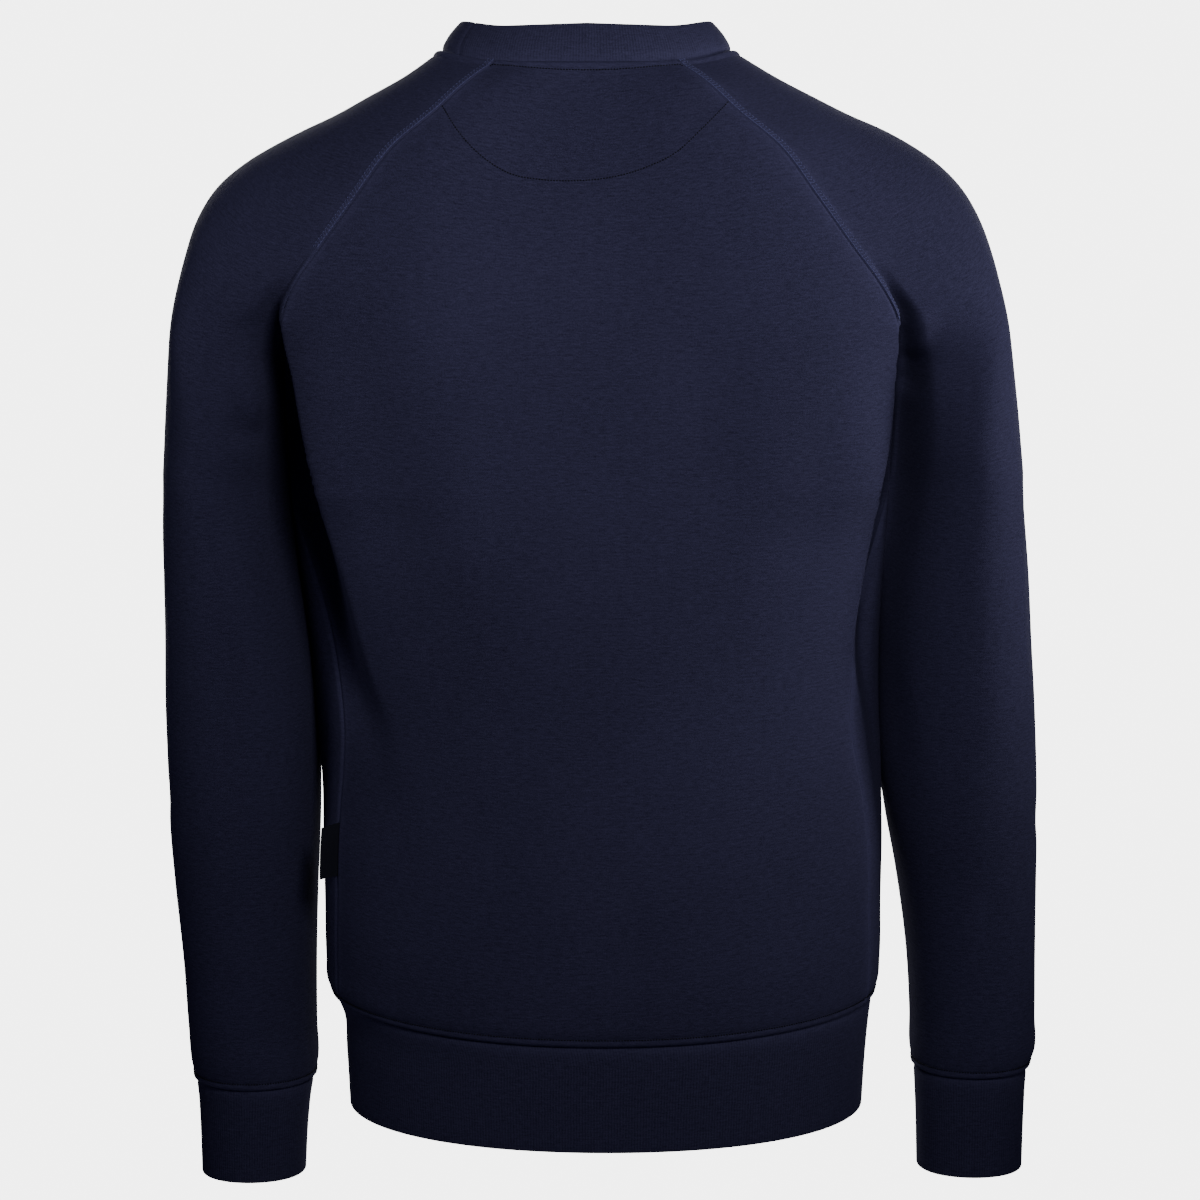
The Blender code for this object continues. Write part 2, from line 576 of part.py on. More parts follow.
def border(quads):
    """Border edges of a piece in its own winding, each with the middle of its quad's far side."""
    edges = np.vstack([quads[:, [corner, (corner + 1) % 4]] for corner in range(4)])
    far = np.vstack([quads[:, [(corner + 2) % 4, (corner + 3) % 4]] for corner in range(4)])
    _, index, count = np.unique(np.sort(edges, axis=1), axis=0, return_inverse=True, return_counts=True)
    single = count[index.reshape(-1)] == 1
    return edges[single], far[single]


def seam_insets(points, normals, edges, far):
    """Half a seam gap at each seam point, square to the seam and to the shared normal."""
    total = np.zeros_like(points)
    for end in range(2):
        here = edges[:, end]
        normal = normals[here]
        along = points[edges[:, 1]] - points[edges[:, 0]]
        along = unit(along - (along * normal).sum(axis=1)[:, None] * normal)
        inwards = points[far].mean(axis=1) - points[edges].mean(axis=1)
        inwards = inwards - (inwards * normal).sum(axis=1)[:, None] * normal
        inwards = unit(inwards - (inwards * along).sum(axis=1)[:, None] * along)
        np.add.at(total, here, inwards)
    size = np.maximum((total**2).sum(axis=1), 0.8)[:, None]
    return total / size * SEAM_GAP


def thick_piece(name, sheet, quads, wall, shared, material):
    """Closed solid of one piece: outer face, plain inner face and the edges between."""
    points, normals, lifts = sheet
    edges, far = border(quads)
    sewn = np.array([tuple(sorted(edge)) in shared for edge in edges.tolist()])
    inset = seam_insets(points, normals, edges[sewn], far[sewn])
    used, local = np.unique(quads, return_inverse=True)
    local = local.reshape(-1, 4)
    count = len(used)
    place = {int(point): position for position, point in enumerate(used)}
    outer = points[used] + inset[used] + normals[used] * lifts[used, None]
    inner = points[used] + inset[used] - normals[used] * wall
    corners = [outer, inner]
    faces = []
    for a, b, c, d in local.tolist():
        faces.extend([(a, b, c), (a, c, d)])
        faces.extend([(count + a, count + c, count + b), (count + a, count + d, count + c)])
    folded = {}
    free = edges[~sewn]
    free_far = far[~sewn]
    away = np.zeros_like(points)
    for end in range(2):
        step = points[free].mean(axis=1) - points[free_far].mean(axis=1)
        np.add.at(away, free[:, end], step)
    for position, point in enumerate(np.unique(free).tolist()):
        folded[point] = 2 * count + position
        middle = (outer[place[point]] + inner[place[point]]) / 2
        corners.append((middle + unit(away[point]) * wall * 0.4)[None])
    for a, b in edges.tolist():
        outer_a, outer_b = place[a], place[b]
        inner_a, inner_b = count + outer_a, count + outer_b
        if a in folded and b in folded:
            tip_a, tip_b = folded[a], folded[b]
            faces.extend([(outer_b, outer_a, tip_a), (outer_b, tip_a, tip_b)])
            faces.extend([(tip_b, tip_a, inner_a), (tip_b, inner_a, inner_b)])
        else:
            faces.extend([(outer_b, outer_a, inner_a), (outer_b, inner_a, inner_b)])
    add_object(name, np.vstack(corners), faces, material)


def add_object(name, corners, faces, material):
    """Puts one named mesh with its material into the scene."""
    mesh = bpy.data.meshes.new(name)
    mesh.from_pydata(corners.tolist(), [], faces)
    mesh.materials.append(material)
    mesh.validate()
    mesh.update()
    bpy.context.scene.collection.objects.link(bpy.data.objects.new(name, mesh))


def fabric(name, colour, roughness):
    """Plain cloth colour for one piece."""
    material = bpy.data.materials.new(name)
    material.use_nodes = True
    surface = material.node_tree.nodes["Principled BSDF"]
    surface.inputs["Base Color"].default_value = colour
    surface.inputs["Roughness"].default_value = roughness
    surface.inputs["Specular IOR Level"].default_value = 0.25
    return material


def side_label(sheet, grids):
    """Folded woven label that stands out of the left side seam and droops a little."""
    points, normals, _ = sheet
    seam = grids["back"][0][0][:, 0]
    heights = (0.0, 0.5, 1.0)
    corners = []
    for share in heights:
        z = LABEL_TOP_Z - LABEL_HEIGHT * share
        x, y = (np.interp(z, seam[:, 2], seam[:, axis]) for axis in (0, 1))
        near = np.argsort(np.linalg.norm(points - (x, y, z), axis=1))[:2]
        out = unit(normals[near].mean(axis=0) * (1.0, 0.55, 0.0))
        across = np.array([-out[1], out[0], 0.0]) * LABEL_THICKNESS / 2
        root = np.array([x, y, z]) + out * (LABEL_CLEARANCE + 0.0006)
        tip = root + out * LABEL_REACH + np.array([0.0, 0.0, -LABEL_DROOP * (1 - 0.3 * share)])
        corners.extend([root - across, tip - across, tip + across, root + across])
    faces = []
    for level in range(len(heights) - 1):
        for corner in range(4):
            a = 4 * level + corner
            b = 4 * level + (corner + 1) % 4
            faces.extend([(a, a + 4, b + 4), (a, b + 4, b)])
    top = 4 * (len(heights) - 1)
    faces.extend([(0, 1, 2), (0, 2, 3), (top, top + 2, top + 1), (top, top + 3, top + 2)])
    return np.array(corners), faces


def main():
    """Clears the scene and builds every piece of the garment."""
    for item in list(bpy.data.objects):
        bpy.data.objects.remove(item)
    grids = sewn_sheet()
    points, lifts, pieces = weld(grids)
    everything = np.vstack(list(pieces.values()))
    normals = sheet_normals(points, everything)
    points = points + normals * fold_heights(points, normals)[:, None]
    normals = sheet_normals(points, everything)
    owners = {}
    for name, quads in pieces.items():
        for edge in border(quads)[0].tolist():
            owners.setdefault(tuple(sorted(edge)), set()).add(name)
    shared = {edge for edge, names in owners.items() if len(names) > 1}
    jersey = fabric("sweatshirt_jersey", NAVY, 0.92)
    rib = fabric("cotton_rib", RIB_NAVY, 0.95)
    for name, quads in pieces.items():
        quads = along_the_bends(quads, normals)
        banded = name.startswith(("neckband", "hem_band", "cuff"))
        wall, material = (RIB, rib) if banded else (CLOTH, jersey)
        thick_piece(name, (points, normals, lifts), quads, wall, shared, material)
    corners, faces = side_label((points, normals, lifts), grids)
    add_object("side_label", corners, faces, fabric("woven_label", LABEL_NAVY, 0.7))


main()
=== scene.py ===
"""Crew-neck raglan sweatshirt, filled out as when worn: the finish of every sewn piece.

Lengths are in metres and angles in degrees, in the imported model's own frame: +Z is up,
the garment's front faces -Y, and its left side is +X. Every piece of cloth is a thin
closed shell laid over the form of the solid that it replaces, with its own creases,
stitched-down seams and knitted surface.
"""

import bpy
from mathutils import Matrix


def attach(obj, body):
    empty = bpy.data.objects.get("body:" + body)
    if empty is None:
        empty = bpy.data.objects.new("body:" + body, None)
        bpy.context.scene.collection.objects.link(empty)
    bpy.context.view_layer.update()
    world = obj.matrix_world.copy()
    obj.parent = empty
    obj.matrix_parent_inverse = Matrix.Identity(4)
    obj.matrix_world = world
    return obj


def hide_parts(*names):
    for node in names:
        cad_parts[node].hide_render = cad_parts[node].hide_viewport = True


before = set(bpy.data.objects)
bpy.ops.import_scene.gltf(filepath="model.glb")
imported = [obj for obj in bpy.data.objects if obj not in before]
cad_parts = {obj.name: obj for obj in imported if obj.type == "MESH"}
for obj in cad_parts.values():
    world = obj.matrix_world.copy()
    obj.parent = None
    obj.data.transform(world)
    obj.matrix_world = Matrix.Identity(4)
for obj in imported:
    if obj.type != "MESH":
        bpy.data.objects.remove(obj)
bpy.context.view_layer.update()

import logging
from collections.abc import Sequence
from dataclasses import dataclass, field
from enum import Enum

import bpy
import numpy as np
from mathutils import Vector
from mathutils.bvhtree import BVHTree

log = logging.getLogger("sweatshirt")
Array = np.ndarray
Tree = bpy.types.NodeTree
Socket = bpy.types.NodeSocket
Material = bpy.types.Material


class Side(Enum):
    """A side of the garment as its wearer has it, with the sign of its x."""

    LEFT = 1.0
    RIGHT = -1.0

    @property
    def key(self) -> str:
        """The side's name as the tables spell it."""
        return self.name.lower()


class Face(Enum):
    """Which way a panel or a crease faces: the axis it is seen along, and the sign."""

    BACK = (1, 1.0)
    FRONT = (1, -1.0)
    LEFT = (0, 1.0)
    RIGHT = (0, -1.0)


class Border(Enum):
    """The four borders of a piece's grid."""

    FIRST = "first column"
    LAST = "last column"
    BOTTOM = "bottom row"
    TOP = "top row"


class Seam(Enum):
    """How a border of a piece is sewn, or that it is a folded edge or a closed ring."""

    RAGLAN_BODY = "the flat side of a cover-stitched raglan seam"
    RAGLAN_SLEEVE = "the side of a raglan seam that the allowance lies under"
    WELT = "a seam to a band, with its allowance stitched down"
    BAND = "the band's side of such a seam"
    PLAIN = "an overlocked seam with nothing stitched down"
    FOLDED = "a folded edge"
    RING = "no border, because the piece closes on itself"


BODY_SIDES = {Border.FIRST: Seam.RAGLAN_BODY, Border.LAST: Seam.RAGLAN_BODY}
SLEEVE_SIDES = {Border.FIRST: Seam.RAGLAN_SLEEVE, Border.LAST: Seam.RAGLAN_SLEEVE}
CLOSED_RING = {Border.FIRST: Seam.RING, Border.LAST: Seam.RING}
WELTED_ENDS = {Border.BOTTOM: Seam.WELT, Border.TOP: Seam.WELT}
HANGING_BAND = {Border.BOTTOM: Seam.FOLDED, Border.TOP: Seam.BAND}
STANDING_BAND = {Border.BOTTOM: Seam.BAND, Border.TOP: Seam.FOLDED}

# Points that agree to this many digits of a metre are the same.
WELD_DIGITS = 6
# The close rows over a welt, and how fast the rows beyond them grow apart.
WELT_REACH = 0.0095
WELT_ROWS = 13
ROW_GROWTH = 1.35


# ---------------------------------------------------------------------------
# Sizes
# ---------------------------------------------------------------------------


@dataclass(frozen=True)
class Table:
    """Rows of sizes under named columns, read smoothly by their first column."""

    columns: str
    rows: tuple[tuple[float, ...], ...]

    def read(self, name: str, at: Array | float) -> Array:
        """Reads one column.

        Args:
            name: The column's name.
            at: Values of the first column.

        Returns:
            The column's values there, on a smooth curve through the rows.
        """
        rows = np.array(self.rows, dtype=float)
        return smooth(rows[:, 0], rows[:, self.columns.split().index(name)], at)

    def row(self, at: float) -> dict[str, float]:
        """All the columns at one value of the first, by name."""
        return {name: float(self.read(name, at)) for name in self.columns.split()[1:]}


@dataclass(frozen=True)
class Run:
    """A curve on both sides of the garment, from the neck seam to the underarm's level.

    Its rows hold the distance from the middle on the left, the same on the right, y and z.
    """

    rows: tuple[tuple[float, float, float, float], ...]

    def points(self, side: Side, shares: Array) -> Array:
        """Points of the curve on one side.

        Args:
            side: The side of the garment.
            shares: Places along the curve, as shares of its length.

        Returns:
            The points.
        """
        rows = np.array(self.rows)
        across = rows[:, 0] if side is Side.LEFT else -rows[:, 1]
        line = np.stack([across, rows[:, 2], rows[:, 3]], axis=1)
        along = lengths_along(line)
        keys = along / along[-1]
        return np.stack([smooth(keys, line[:, axis], shares) for axis in range(3)], axis=-1)


@dataclass(frozen=True)
class Crease:
    """A soft ridge (+) or trough (-) of the cloth, drawn as a line on what faces one way.

    Attributes:
        face: What the crease is seen on.
        width: Distance from its line at which it has all but levelled out.
        height: How far it stands out.
        line: Its points, by the level distance from the middle or y, and z.
        pieces: The only pieces that it shows on, or none named for all of them.
        fade: Share of its length over which each end fades.
        end: Share of the height that is left at its very ends.
        turned: How squarely the cloth has to face that way for it to begin and to be full.
    """

    face: Face
    width: float
    height: float
    line: tuple[tuple[float, float], ...]
    pieces: tuple[str, ...] = ()
    fade: float = 0.3
    end: float = 0.12
    turned: tuple[float, float] = (0.04, 0.42)

    def heights(self, flat: Array, facing: Array) -> Array:
        """Heights of the crease.

        Args:
            flat: Places as the face's own two coordinates.
            facing: How squarely the cloth there faces the crease's way, from -1 to 1.

        Returns:
            The height at every place.
        """
        path = np.array(self.line)
        along = lengths_along(path)
        best = np.full(facing.shape, np.inf)
        place = np.zeros(facing.shape)
        for at, start, step in zip(along, path, np.diff(path, axis=0)):
            length = np.linalg.norm(step)
            reach = np.clip((flat - start) @ (step / length), 0.0, length)
            away = np.linalg.norm(flat - start - reach[..., None] * (step / length), axis=-1)
            place = np.where(away < best, at + reach, place)
            best = np.minimum(best, away)
        share = place / along[-1]
        ends = ease(np.minimum(share, 1.0 - share), 0.0, self.fade)
        shape = np.exp(-((best / self.width) ** 2)) * (self.end + (1.0 - self.end) * ends)
        return self.height * shape * ease(facing, *self.turned)


@dataclass(frozen=True)
class Tuck:
    """A fold where a panel ends in an edge, drops away steeply and rises again further out.

    Attributes:
        face: What the fold is seen on. The cloth moves along that axis.
        side: The side of the garment.
        sizes: By z, the edge's distance from the middle, how far it stands out, how deep
            the fold is, and the widths of its steep wall and of the slope beyond it.
        crest: How far the edge's lift reaches into the panel.
        begins: Places along the axis where the fold begins and where it is full.
    """

    face: Face
    side: Side
    sizes: Table
    crest: float = 0.035
    begins: tuple[float, float] = (-0.020, 0.055)

    def moves(self, points: Array) -> Array:
        """How far the fold moves points out along its axis.

        Args:
            points: The points.

        Returns:
            The move of each.
        """
        z = points[..., 2]
        keys = np.array(self.sizes.rows)[:, 0]
        names = self.sizes.columns.split()[1:]
        edge, lift, depth, drop, rise = (self.sizes.read(name, z) for name in names)
        away = points[..., 0] * self.side.value - edge
        fall = ease(away, 0.0, drop)
        stands = lift * np.exp(np.minimum(away, 0.0) / self.crest) * (1.0 - fall)
        sunk = depth * fall * (1.0 - ease(away, drop, drop + rise))
        return np.where((z > keys[0]) & (z < keys[-1]), stands - sunk, 0.0)


def smooth(keys: Array, values: Array, at: Array | float) -> Array:
    """Reads a curve through points smoothly.

    Args:
        keys: Rising places of the points.
        values: Their values.
        at: Places to read.

    Returns:
        The values at those places.
    """
    slopes = np.gradient(values, keys)
    place = np.clip(np.asarray(at, dtype=float), keys[0], keys[-1])
    low = np.clip(np.searchsorted(keys, place) - 1, 0, len(keys) - 2)
    span = keys[low + 1] - keys[low]
    t = (place - keys[low]) / span
    ends = (1 + 2 * t) * (1 - t) ** 2 * values[low] + t**2 * (3 - 2 * t) * values[low + 1]
    return ends + span * (t * (1 - t) ** 2 * slopes[low] - t**2 * (1 - t) * slopes[low + 1])


def lengths_along(line: Array) -> Array:
    """Length of a line up to each of its points."""
    return np.concatenate([[0.0], np.cumsum(np.linalg.norm(np.diff(line, axis=0), axis=1))])


def spread(line: Array, shares: Array) -> Array:
    """Points along a line.

    Args:
        line: The line's own points.
        shares: The wanted places, as shares of its length.

    Returns:
        The points there.
    """
    along = lengths_along(line)
    wanted = np.asarray(shares) * along[-1]
    return np.stack([np.interp(wanted, along, line[:, axis]) for axis in range(3)], axis=1)


def bezier(
    start: Array, start_pull: Array, end_pull: Array, end: Array, count: int = 220
) -> Array:
    """Samples a cubic Bezier.

    Args:
        start: First point.
        start_pull: First handle, as an offset from the first point.
        end_pull: Last handle, as an offset from the last point.
        end: Last point.
        count: How many points to give.

    Returns:
        The points.
    """
    t = np.linspace(0.0, 1.0, count)[:, None]
    first, last = start + start_pull, end + end_pull
    middle = 3 * t * (1 - t) ** 2 * first + 3 * t**2 * (1 - t) * last
    return (1 - t) ** 3 * start + middle + t**3 * end


def unit(vectors: Array) -> Array:
    """The vectors at length one."""
    return vectors / np.maximum(np.linalg.norm(vectors, axis=-1, keepdims=True), 1e-12)


def ease(values: Array, low: float, high: float) -> Array:
    """A soft step from 0 at low to 1 at high."""
    t = np.clip((values - low) / (high - low), 0.0, 1.0)
    return t * t * (3 - 2 * t)


def places_from_seam(length: float, step: float) -> Array:
    """Distances of rows from a welted seam: every 0.8 mm over the welt, then growing.

    Args:
        length: Distance to the last row.
        step: Largest spacing.

    Returns:
        The rows' distances, from 0 to length.
    """
    close = np.linspace(0.0, WELT_REACH, WELT_ROWS)
    places = list(close)
    gap = close[1]
    # rows follow while there is room for one and a half, then stretch to the end
    while places[-1] + gap * 1.5 < length:
        gap = min(gap * ROW_GROWTH, step)
        places.append(places[-1] + gap)
    beyond = np.array(places[WELT_ROWS:]) - WELT_REACH
    return np.concatenate([close, WELT_REACH + beyond * (length - WELT_REACH) / beyond[-1]])


def heading(side: Side, face: float, degrees: float) -> Array:
    """Level direction from straight outwards (0) through straight back or front (90)."""
    angle = np.radians(degrees)
    return np.array([side.value * np.cos(angle), face * np.sin(angle), 0.0])


BACK_RAGLAN = Run(
    (
        (0.0555, 0.0545, 0.0635, 0.0010),
        (0.0745, 0.0742, 0.0790, -0.0120),
        (0.0925, 0.0920, 0.0890, -0.0280),
        (0.1195, 0.1190, 0.0970, -0.0505),
        (0.1415, 0.1410, 0.1000, -0.0800),
        (0.1640, 0.1632, 0.0995, -0.1111),
        (0.1800, 0.1800, 0.0955, -0.1340),
        (0.1880, 0.1910, 0.0870, -0.1540),
        (0.1910, 0.1948, 0.0710, -0.1800),
        (0.1915, 0.1952, 0.0500, -0.2150),
        (0.1910, 0.1944, 0.0290, -0.2450),
        (0.1900, 0.1930, 0.0120, -0.2650),
    )
)
FRONT_RAGLAN = Run(
    (
        (0.0630, 0.0625, -0.0640, -0.0545),
        (0.0800, 0.0795, -0.0790, -0.0670),
        (0.1010, 0.1005, -0.0910, -0.0850),
        (0.1230, 0.1230, -0.0980, -0.1060),
        (0.1440, 0.1445, -0.0995, -0.1350),
        (0.1630, 0.1640, -0.0940, -0.1660),
        (0.1780, 0.1800, -0.0800, -0.1980),
        (0.1870, 0.1895, -0.0580, -0.2270),
        (0.1905, 0.1930, -0.0300, -0.2480),
        (0.1905, 0.1935, -0.0070, -0.2600),
        (0.1900, 0.1930, 0.0120, -0.2650),
    )
)
SHOULDER = Run(
    (
        (0.0925, 0.0915, 0.003, 0.0030),
        (0.1158, 0.1190, 0.002, -0.0135),
        (0.1374, 0.1420, 0.001, -0.0250),
        (0.1590, 0.1660, 0.000, -0.0366),
        (0.1787, 0.1870, -0.001, -0.0456),
        (0.1990, 0.2060, -0.002, -0.0560),
        (0.2150, 0.2200, -0.002, -0.0655),
        (0.2362, 0.2382, -0.003, -0.0837),
        (0.2478, 0.2492, -0.003, -0.1028),
        (0.2540, 0.2560, -0.003, -0.1218),
        (0.2585, 0.2607, -0.003, -0.1409),
        (0.2642, 0.2680, -0.003, -0.1792),
        (0.2681, 0.2737, -0.004, -0.2177),
        (0.2712, 0.2783, -0.004, -0.2600),
    )
)
SPINE = Run(
    (
        (0.0, 0.0, 0.0735, 0.0010),
        (0.0, 0.0, 0.0880, -0.0300),
        (0.0, 0.0, 0.0985, -0.0600),
        (0.0, 0.0, 0.1120, -0.1150),
        (0.0, 0.0, 0.1190, -0.1800),
        (0.0, 0.0, 0.1180, -0.2650),
    )
)
CHEST = Run(
    (
        (0.0, 0.0, -0.0880, -0.0800),
        (0.0, 0.0, -0.0985, -0.1000),
        (0.0, 0.0, -0.1090, -0.1300),
        (0.0, 0.0, -0.1185, -0.1700),
        (0.0, 0.0, -0.1235, -0.2150),
        (0.0, 0.0, -0.1235, -0.2650),
    )
)

# How the cloth leaves the raglan seams, by the share of the way from neck to underarm:
# headings seen from above, and Bezier pulls as shares of the line to the row's middle.
YOKE = Table(
    "down body_heading sleeve_heading body_pull middle_pull "
    "seam_pull crown_pull front_gain front_dip crown_dip",
    (
        (0.00, 152, -30, 0.34, 0.42, 0.36, 0.42, 1.00, 0.62, 0.22),
        (0.15, 154, -27, 0.34, 0.42, 0.36, 0.44, 1.00, 0.40, 0.13),
        (0.35, 155, -26, 0.34, 0.42, 0.38, 0.48, 1.00, 0.12, 0.03),
        (0.50, 149, -26, 0.33, 0.44, 0.42, 0.56, 1.00, 0.00, 0.00),
        (0.62, 136, -8, 0.33, 0.50, 0.55, 0.71, 1.00, 0.00, 0.00),
        (0.72, 120, 18, 0.33, 0.56, 0.76, 0.86, 1.01, 0.00, 0.00),
        (0.82, 106, 42, 0.35, 0.60, 0.89, 0.98, 1.04, 0.00, 0.00),
        (0.92, 95, 58, 0.385, 0.63, 1.05, 1.09, 1.12, 0.00, 0.00),
        (1.00, 90, 64, 0.417, 0.642, 1.19, 1.19, 1.19, 0.00, 0.00),
    ),
)
# The body's sides: the widest point lies y behind the middle, and the side seam lies
# seam_back behind that. A roundness of 0.55 is an ellipse, and more is squarer.
SIDES = Table(
    "z left right y seam_back side_round middle_round",
    (
        (-0.6040, 0.1640, 0.1850, -0.002, 0.045, 0.60, 0.62),
        (-0.5950, 0.1690, 0.1886, -0.002, 0.045, 0.60, 0.62),
        (-0.5800, 0.1700, 0.1899, -0.002, 0.045, 0.60, 0.61),
        (-0.5400, 0.1705, 0.1901, -0.001, 0.044, 0.59, 0.60),
        (-0.5000, 0.1713, 0.1908, -0.004, 0.046, 0.58, 0.60),
        (-0.4700, 0.1722, 0.1908, -0.016, 0.056, 0.59, 0.60),
        (-0.4500, 0.1739, 0.1907, -0.025, 0.067, 0.60, 0.60),
        (-0.4200, 0.1772, 0.1897, -0.034, 0.080, 0.62, 0.61),
        (-0.3900, 0.1796, 0.1895, -0.038, 0.083, 0.65, 0.63),
        (-0.3500, 0.1834, 0.1901, -0.033, 0.077, 0.70, 0.65),
        (-0.3100, 0.1877, 0.1921, -0.021, 0.059, 0.77, 0.68),
        (-0.2850, 0.1898, 0.1932, -0.010, 0.036, 0.82, 0.71),
        (-0.2650, 0.1900, 0.1930, 0.012, 0.000, 0.86, 0.74),
    ),
)
MIDDLES = Table(
    "z x back front",
    (
        (-0.6134, -0.0110, 0.1170, -0.1125),
        (-0.6040, -0.0110, 0.1205, -0.1160),
        (-0.5900, -0.0105, 0.1212, -0.1170),
        (-0.5500, -0.0095, 0.1185, -0.1165),
        (-0.5000, -0.0085, 0.1145, -0.1165),
        (-0.4500, -0.0070, 0.1115, -0.1175),
        (-0.4000, -0.0050, 0.1105, -0.1190),
        (-0.3500, -0.0030, 0.1125, -0.1210),
        (-0.3000, -0.0010, 0.1158, -0.1230),
        (-0.2650, 0.0000, 0.1180, -0.1235),
    ),
)
HEM_RINGS = Table(
    "up left right back front",
    (
        (0.00, 0.1553, 0.1790, 0.1140, -0.1085),
        (0.50, 0.1572, 0.1812, 0.1152, -0.1098),
        (0.85, 0.1592, 0.1836, 0.1160, -0.1108),
        (1.00, 0.1640, 0.1850, 0.1170, -0.1125),
    ),
)
ARMS = Table(
    "z outer_left outer_right inner_left inner_right outer_y inner_y back_depth front_depth fold",
    (
        (-0.6680, 0.2588, 0.2900, 0.1812, 0.2155, -0.038, -0.041, 0.0435, 0.0435, 0),
        (-0.6580, 0.2612, 0.2942, 0.1788, 0.2133, -0.037, -0.040, 0.0475, 0.0475, 0),
        (-0.6311, 0.2632, 0.2944, 0.1790, 0.2125, -0.034, -0.039, 0.0500, 0.0500, 0),
        (-0.5909, 0.2652, 0.2938, 0.1787, 0.2100, -0.031, -0.037, 0.0530, 0.0530, 0),
        (-0.5311, 0.2702, 0.2934, 0.1768, 0.2018, -0.027, -0.035, 0.0570, 0.0570, 0),
        (-0.4913, 0.2726, 0.2931, 0.1749, 0.1944, -0.023, -0.034, 0.0600, 0.0600, 0),
        (-0.4517, 0.2729, 0.2914, 0.1746, 0.1892, -0.019, -0.034, 0.0645, 0.0640, 0),
        (-0.4123, 0.2733, 0.2893, 0.1757, 0.1879, -0.015, -0.031, 0.0680, 0.0675, 1),
        (-0.3731, 0.2729, 0.2868, 0.1788, 0.1880, -0.011, -0.026, 0.0712, 0.0710, 3),
        (-0.3340, 0.2734, 0.2843, 0.1832, 0.1889, -0.008, -0.018, 0.0740, 0.0758, 8),
        (-0.2951, 0.2729, 0.2812, 0.1875, 0.1910, -0.006, -0.005, 0.0752, 0.0815, 16),
        (-0.2640, 0.2712, 0.2783, 0.1900, 0.1930, -0.004, 0.012, 0.0740, 0.0850, 26),
    ),
)
CUFF_RINGS = Table(
    "up outer_left outer_right inner_left inner_right outer_y inner_y depth",
    (
        (0.00, 0.2562, 0.2880, 0.1874, 0.2183, -0.041, -0.043, 0.0375),
        (0.50, 0.2568, 0.2886, 0.1855, 0.2173, -0.040, -0.042, 0.0390),
        (0.85, 0.2578, 0.2894, 0.1830, 0.2161, -0.039, -0.041, 0.0412),
        (1.00, 0.2588, 0.2900, 0.1812, 0.2155, -0.038, -0.041, 0.0435),
    ),
)
# The hem band widens to the trunk between its last two rings.
HEM_RINGS_LAST = (0.85, 1.00)
# The neckband by the way it faces: how far it leans in, and how tall it is.
NECK_RING = Table(
    "facing lean height",
    (
        (-90, 34, 0.0240),
        (-45, 37, 0.0240),
        (0, 36, 0.0205),
        (45, 26, 0.0225),
        (90, 16, 0.0232),
    ),
)


# ---------------------------------------------------------------------------
# The form
# ---------------------------------------------------------------------------


@dataclass
class Piece:
    """One piece of cloth as a grid of points, rows from the bottom up.

    Attributes:
        name: Name of the CAD node that the piece replaces.
        base: Grid of points of the form, rows by columns by 3.
        wall: Thickness of the cloth.
        seams: How each border is sewn, above the underarm on the two side borders.
        low_seam: How the two side borders are sewn below the underarm.
        underarm: Index of the row level with the underarm.
        out: Outward direction at every point.
        relief: Height of the outer face over the form at every point.
        cloth: Place of every point in the flat cloth, across and along the grain.
        wear: Nearness of a seam at every point, from 0 to 1, which paints the cloth paler there,
            partly for rubbing and partly as painted highlight on the welts.
    """

    name: str
    base: Array
    wall: float
    seams: dict[Border, Seam]
    low_seam: Seam = Seam.PLAIN
    underarm: int = 0
    out: Array = field(default_factory=lambda: np.empty(0))
    relief: Array = field(default_factory=lambda: np.empty(0))
    cloth: Array = field(default_factory=lambda: np.empty(0))
    wear: Array = field(default_factory=lambda: np.empty(0))

    @property
    def outer(self) -> Array:
        """The outer face as a grid of points."""
        return self.base + self.out * self.relief[..., None]

    def distance(self, border: Border) -> Array:
        """Distance of every point from a border, along its row or column.

        Args:
            border: The border.

        Returns:
            The distances, as a grid.
        """
        axis = 1 if border in (Border.FIRST, Border.LAST) else 0
        far_end = border in (Border.LAST, Border.TOP)
        steps = np.linalg.norm(np.diff(self.base, axis=axis), axis=-1)
        if far_end:
            steps = np.flip(steps, axis=axis)
        total = np.insert(np.cumsum(steps, axis=axis), 0, 0.0, axis=axis)
        return np.flip(total, axis=axis) if far_end else total

    def line_beside(
        self, border: Border, away: float, rows: slice = slice(None)
    ) -> tuple[Array, Array]:
        """Line on the outer face at a distance from a border.

        Args:
            border: The border that the line keeps its distance from.
            away: That distance.
            rows: For a side border, the rows that the line runs over.

        Returns:
            The line's points, and the outward direction at each.
        """
        far, outer, out = self.distance(border), self.outer, self.out
        if border in (Border.TOP, Border.BOTTOM):
            far, outer, out = far.T, outer.transpose(1, 0, 2), out.transpose(1, 0, 2)
        else:
            far, outer, out = far[rows], outer[rows], out[rows]
        points, directions = [], []
        for reach, line, ways in zip(far, outer, out):
            order = np.argsort(reach)
            for source, found in ((line, points), (ways, directions)):
                values = source[order]
                found.append([np.interp(away, reach[order], values[:, axis]) for axis in range(3)])
        return np.array(points), unit(np.array(directions))

    def seen_from_behind(self, flat: Array) -> tuple[Array, Array]:
        """Lays a line drawn on the view from behind onto the outer face.

        Args:
            flat: The line's x and z.

        Returns:
            The line's points on the cloth, and the outward direction at each.
        """
        grid = self.outer
        index = np.arange(grid[..., 0].size).reshape(grid.shape[:2])
        tree = BVHTree.FromPolygons(grid.reshape(-1, 3).tolist(), quads(index).tolist())
        hits = [tree.ray_cast(Vector((x, 1.0, z)), Vector((0.0, -1.0, 0.0))) for x, z in flat]
        met = [(hit[0], hit[1]) for hit in hits if hit[0] is not None]
        points = np.array([tuple(point) for point, _ in met])
        ways = np.array([tuple(way) for _, way in met])
        return points, ways * np.sign(ways[:, 1:2])


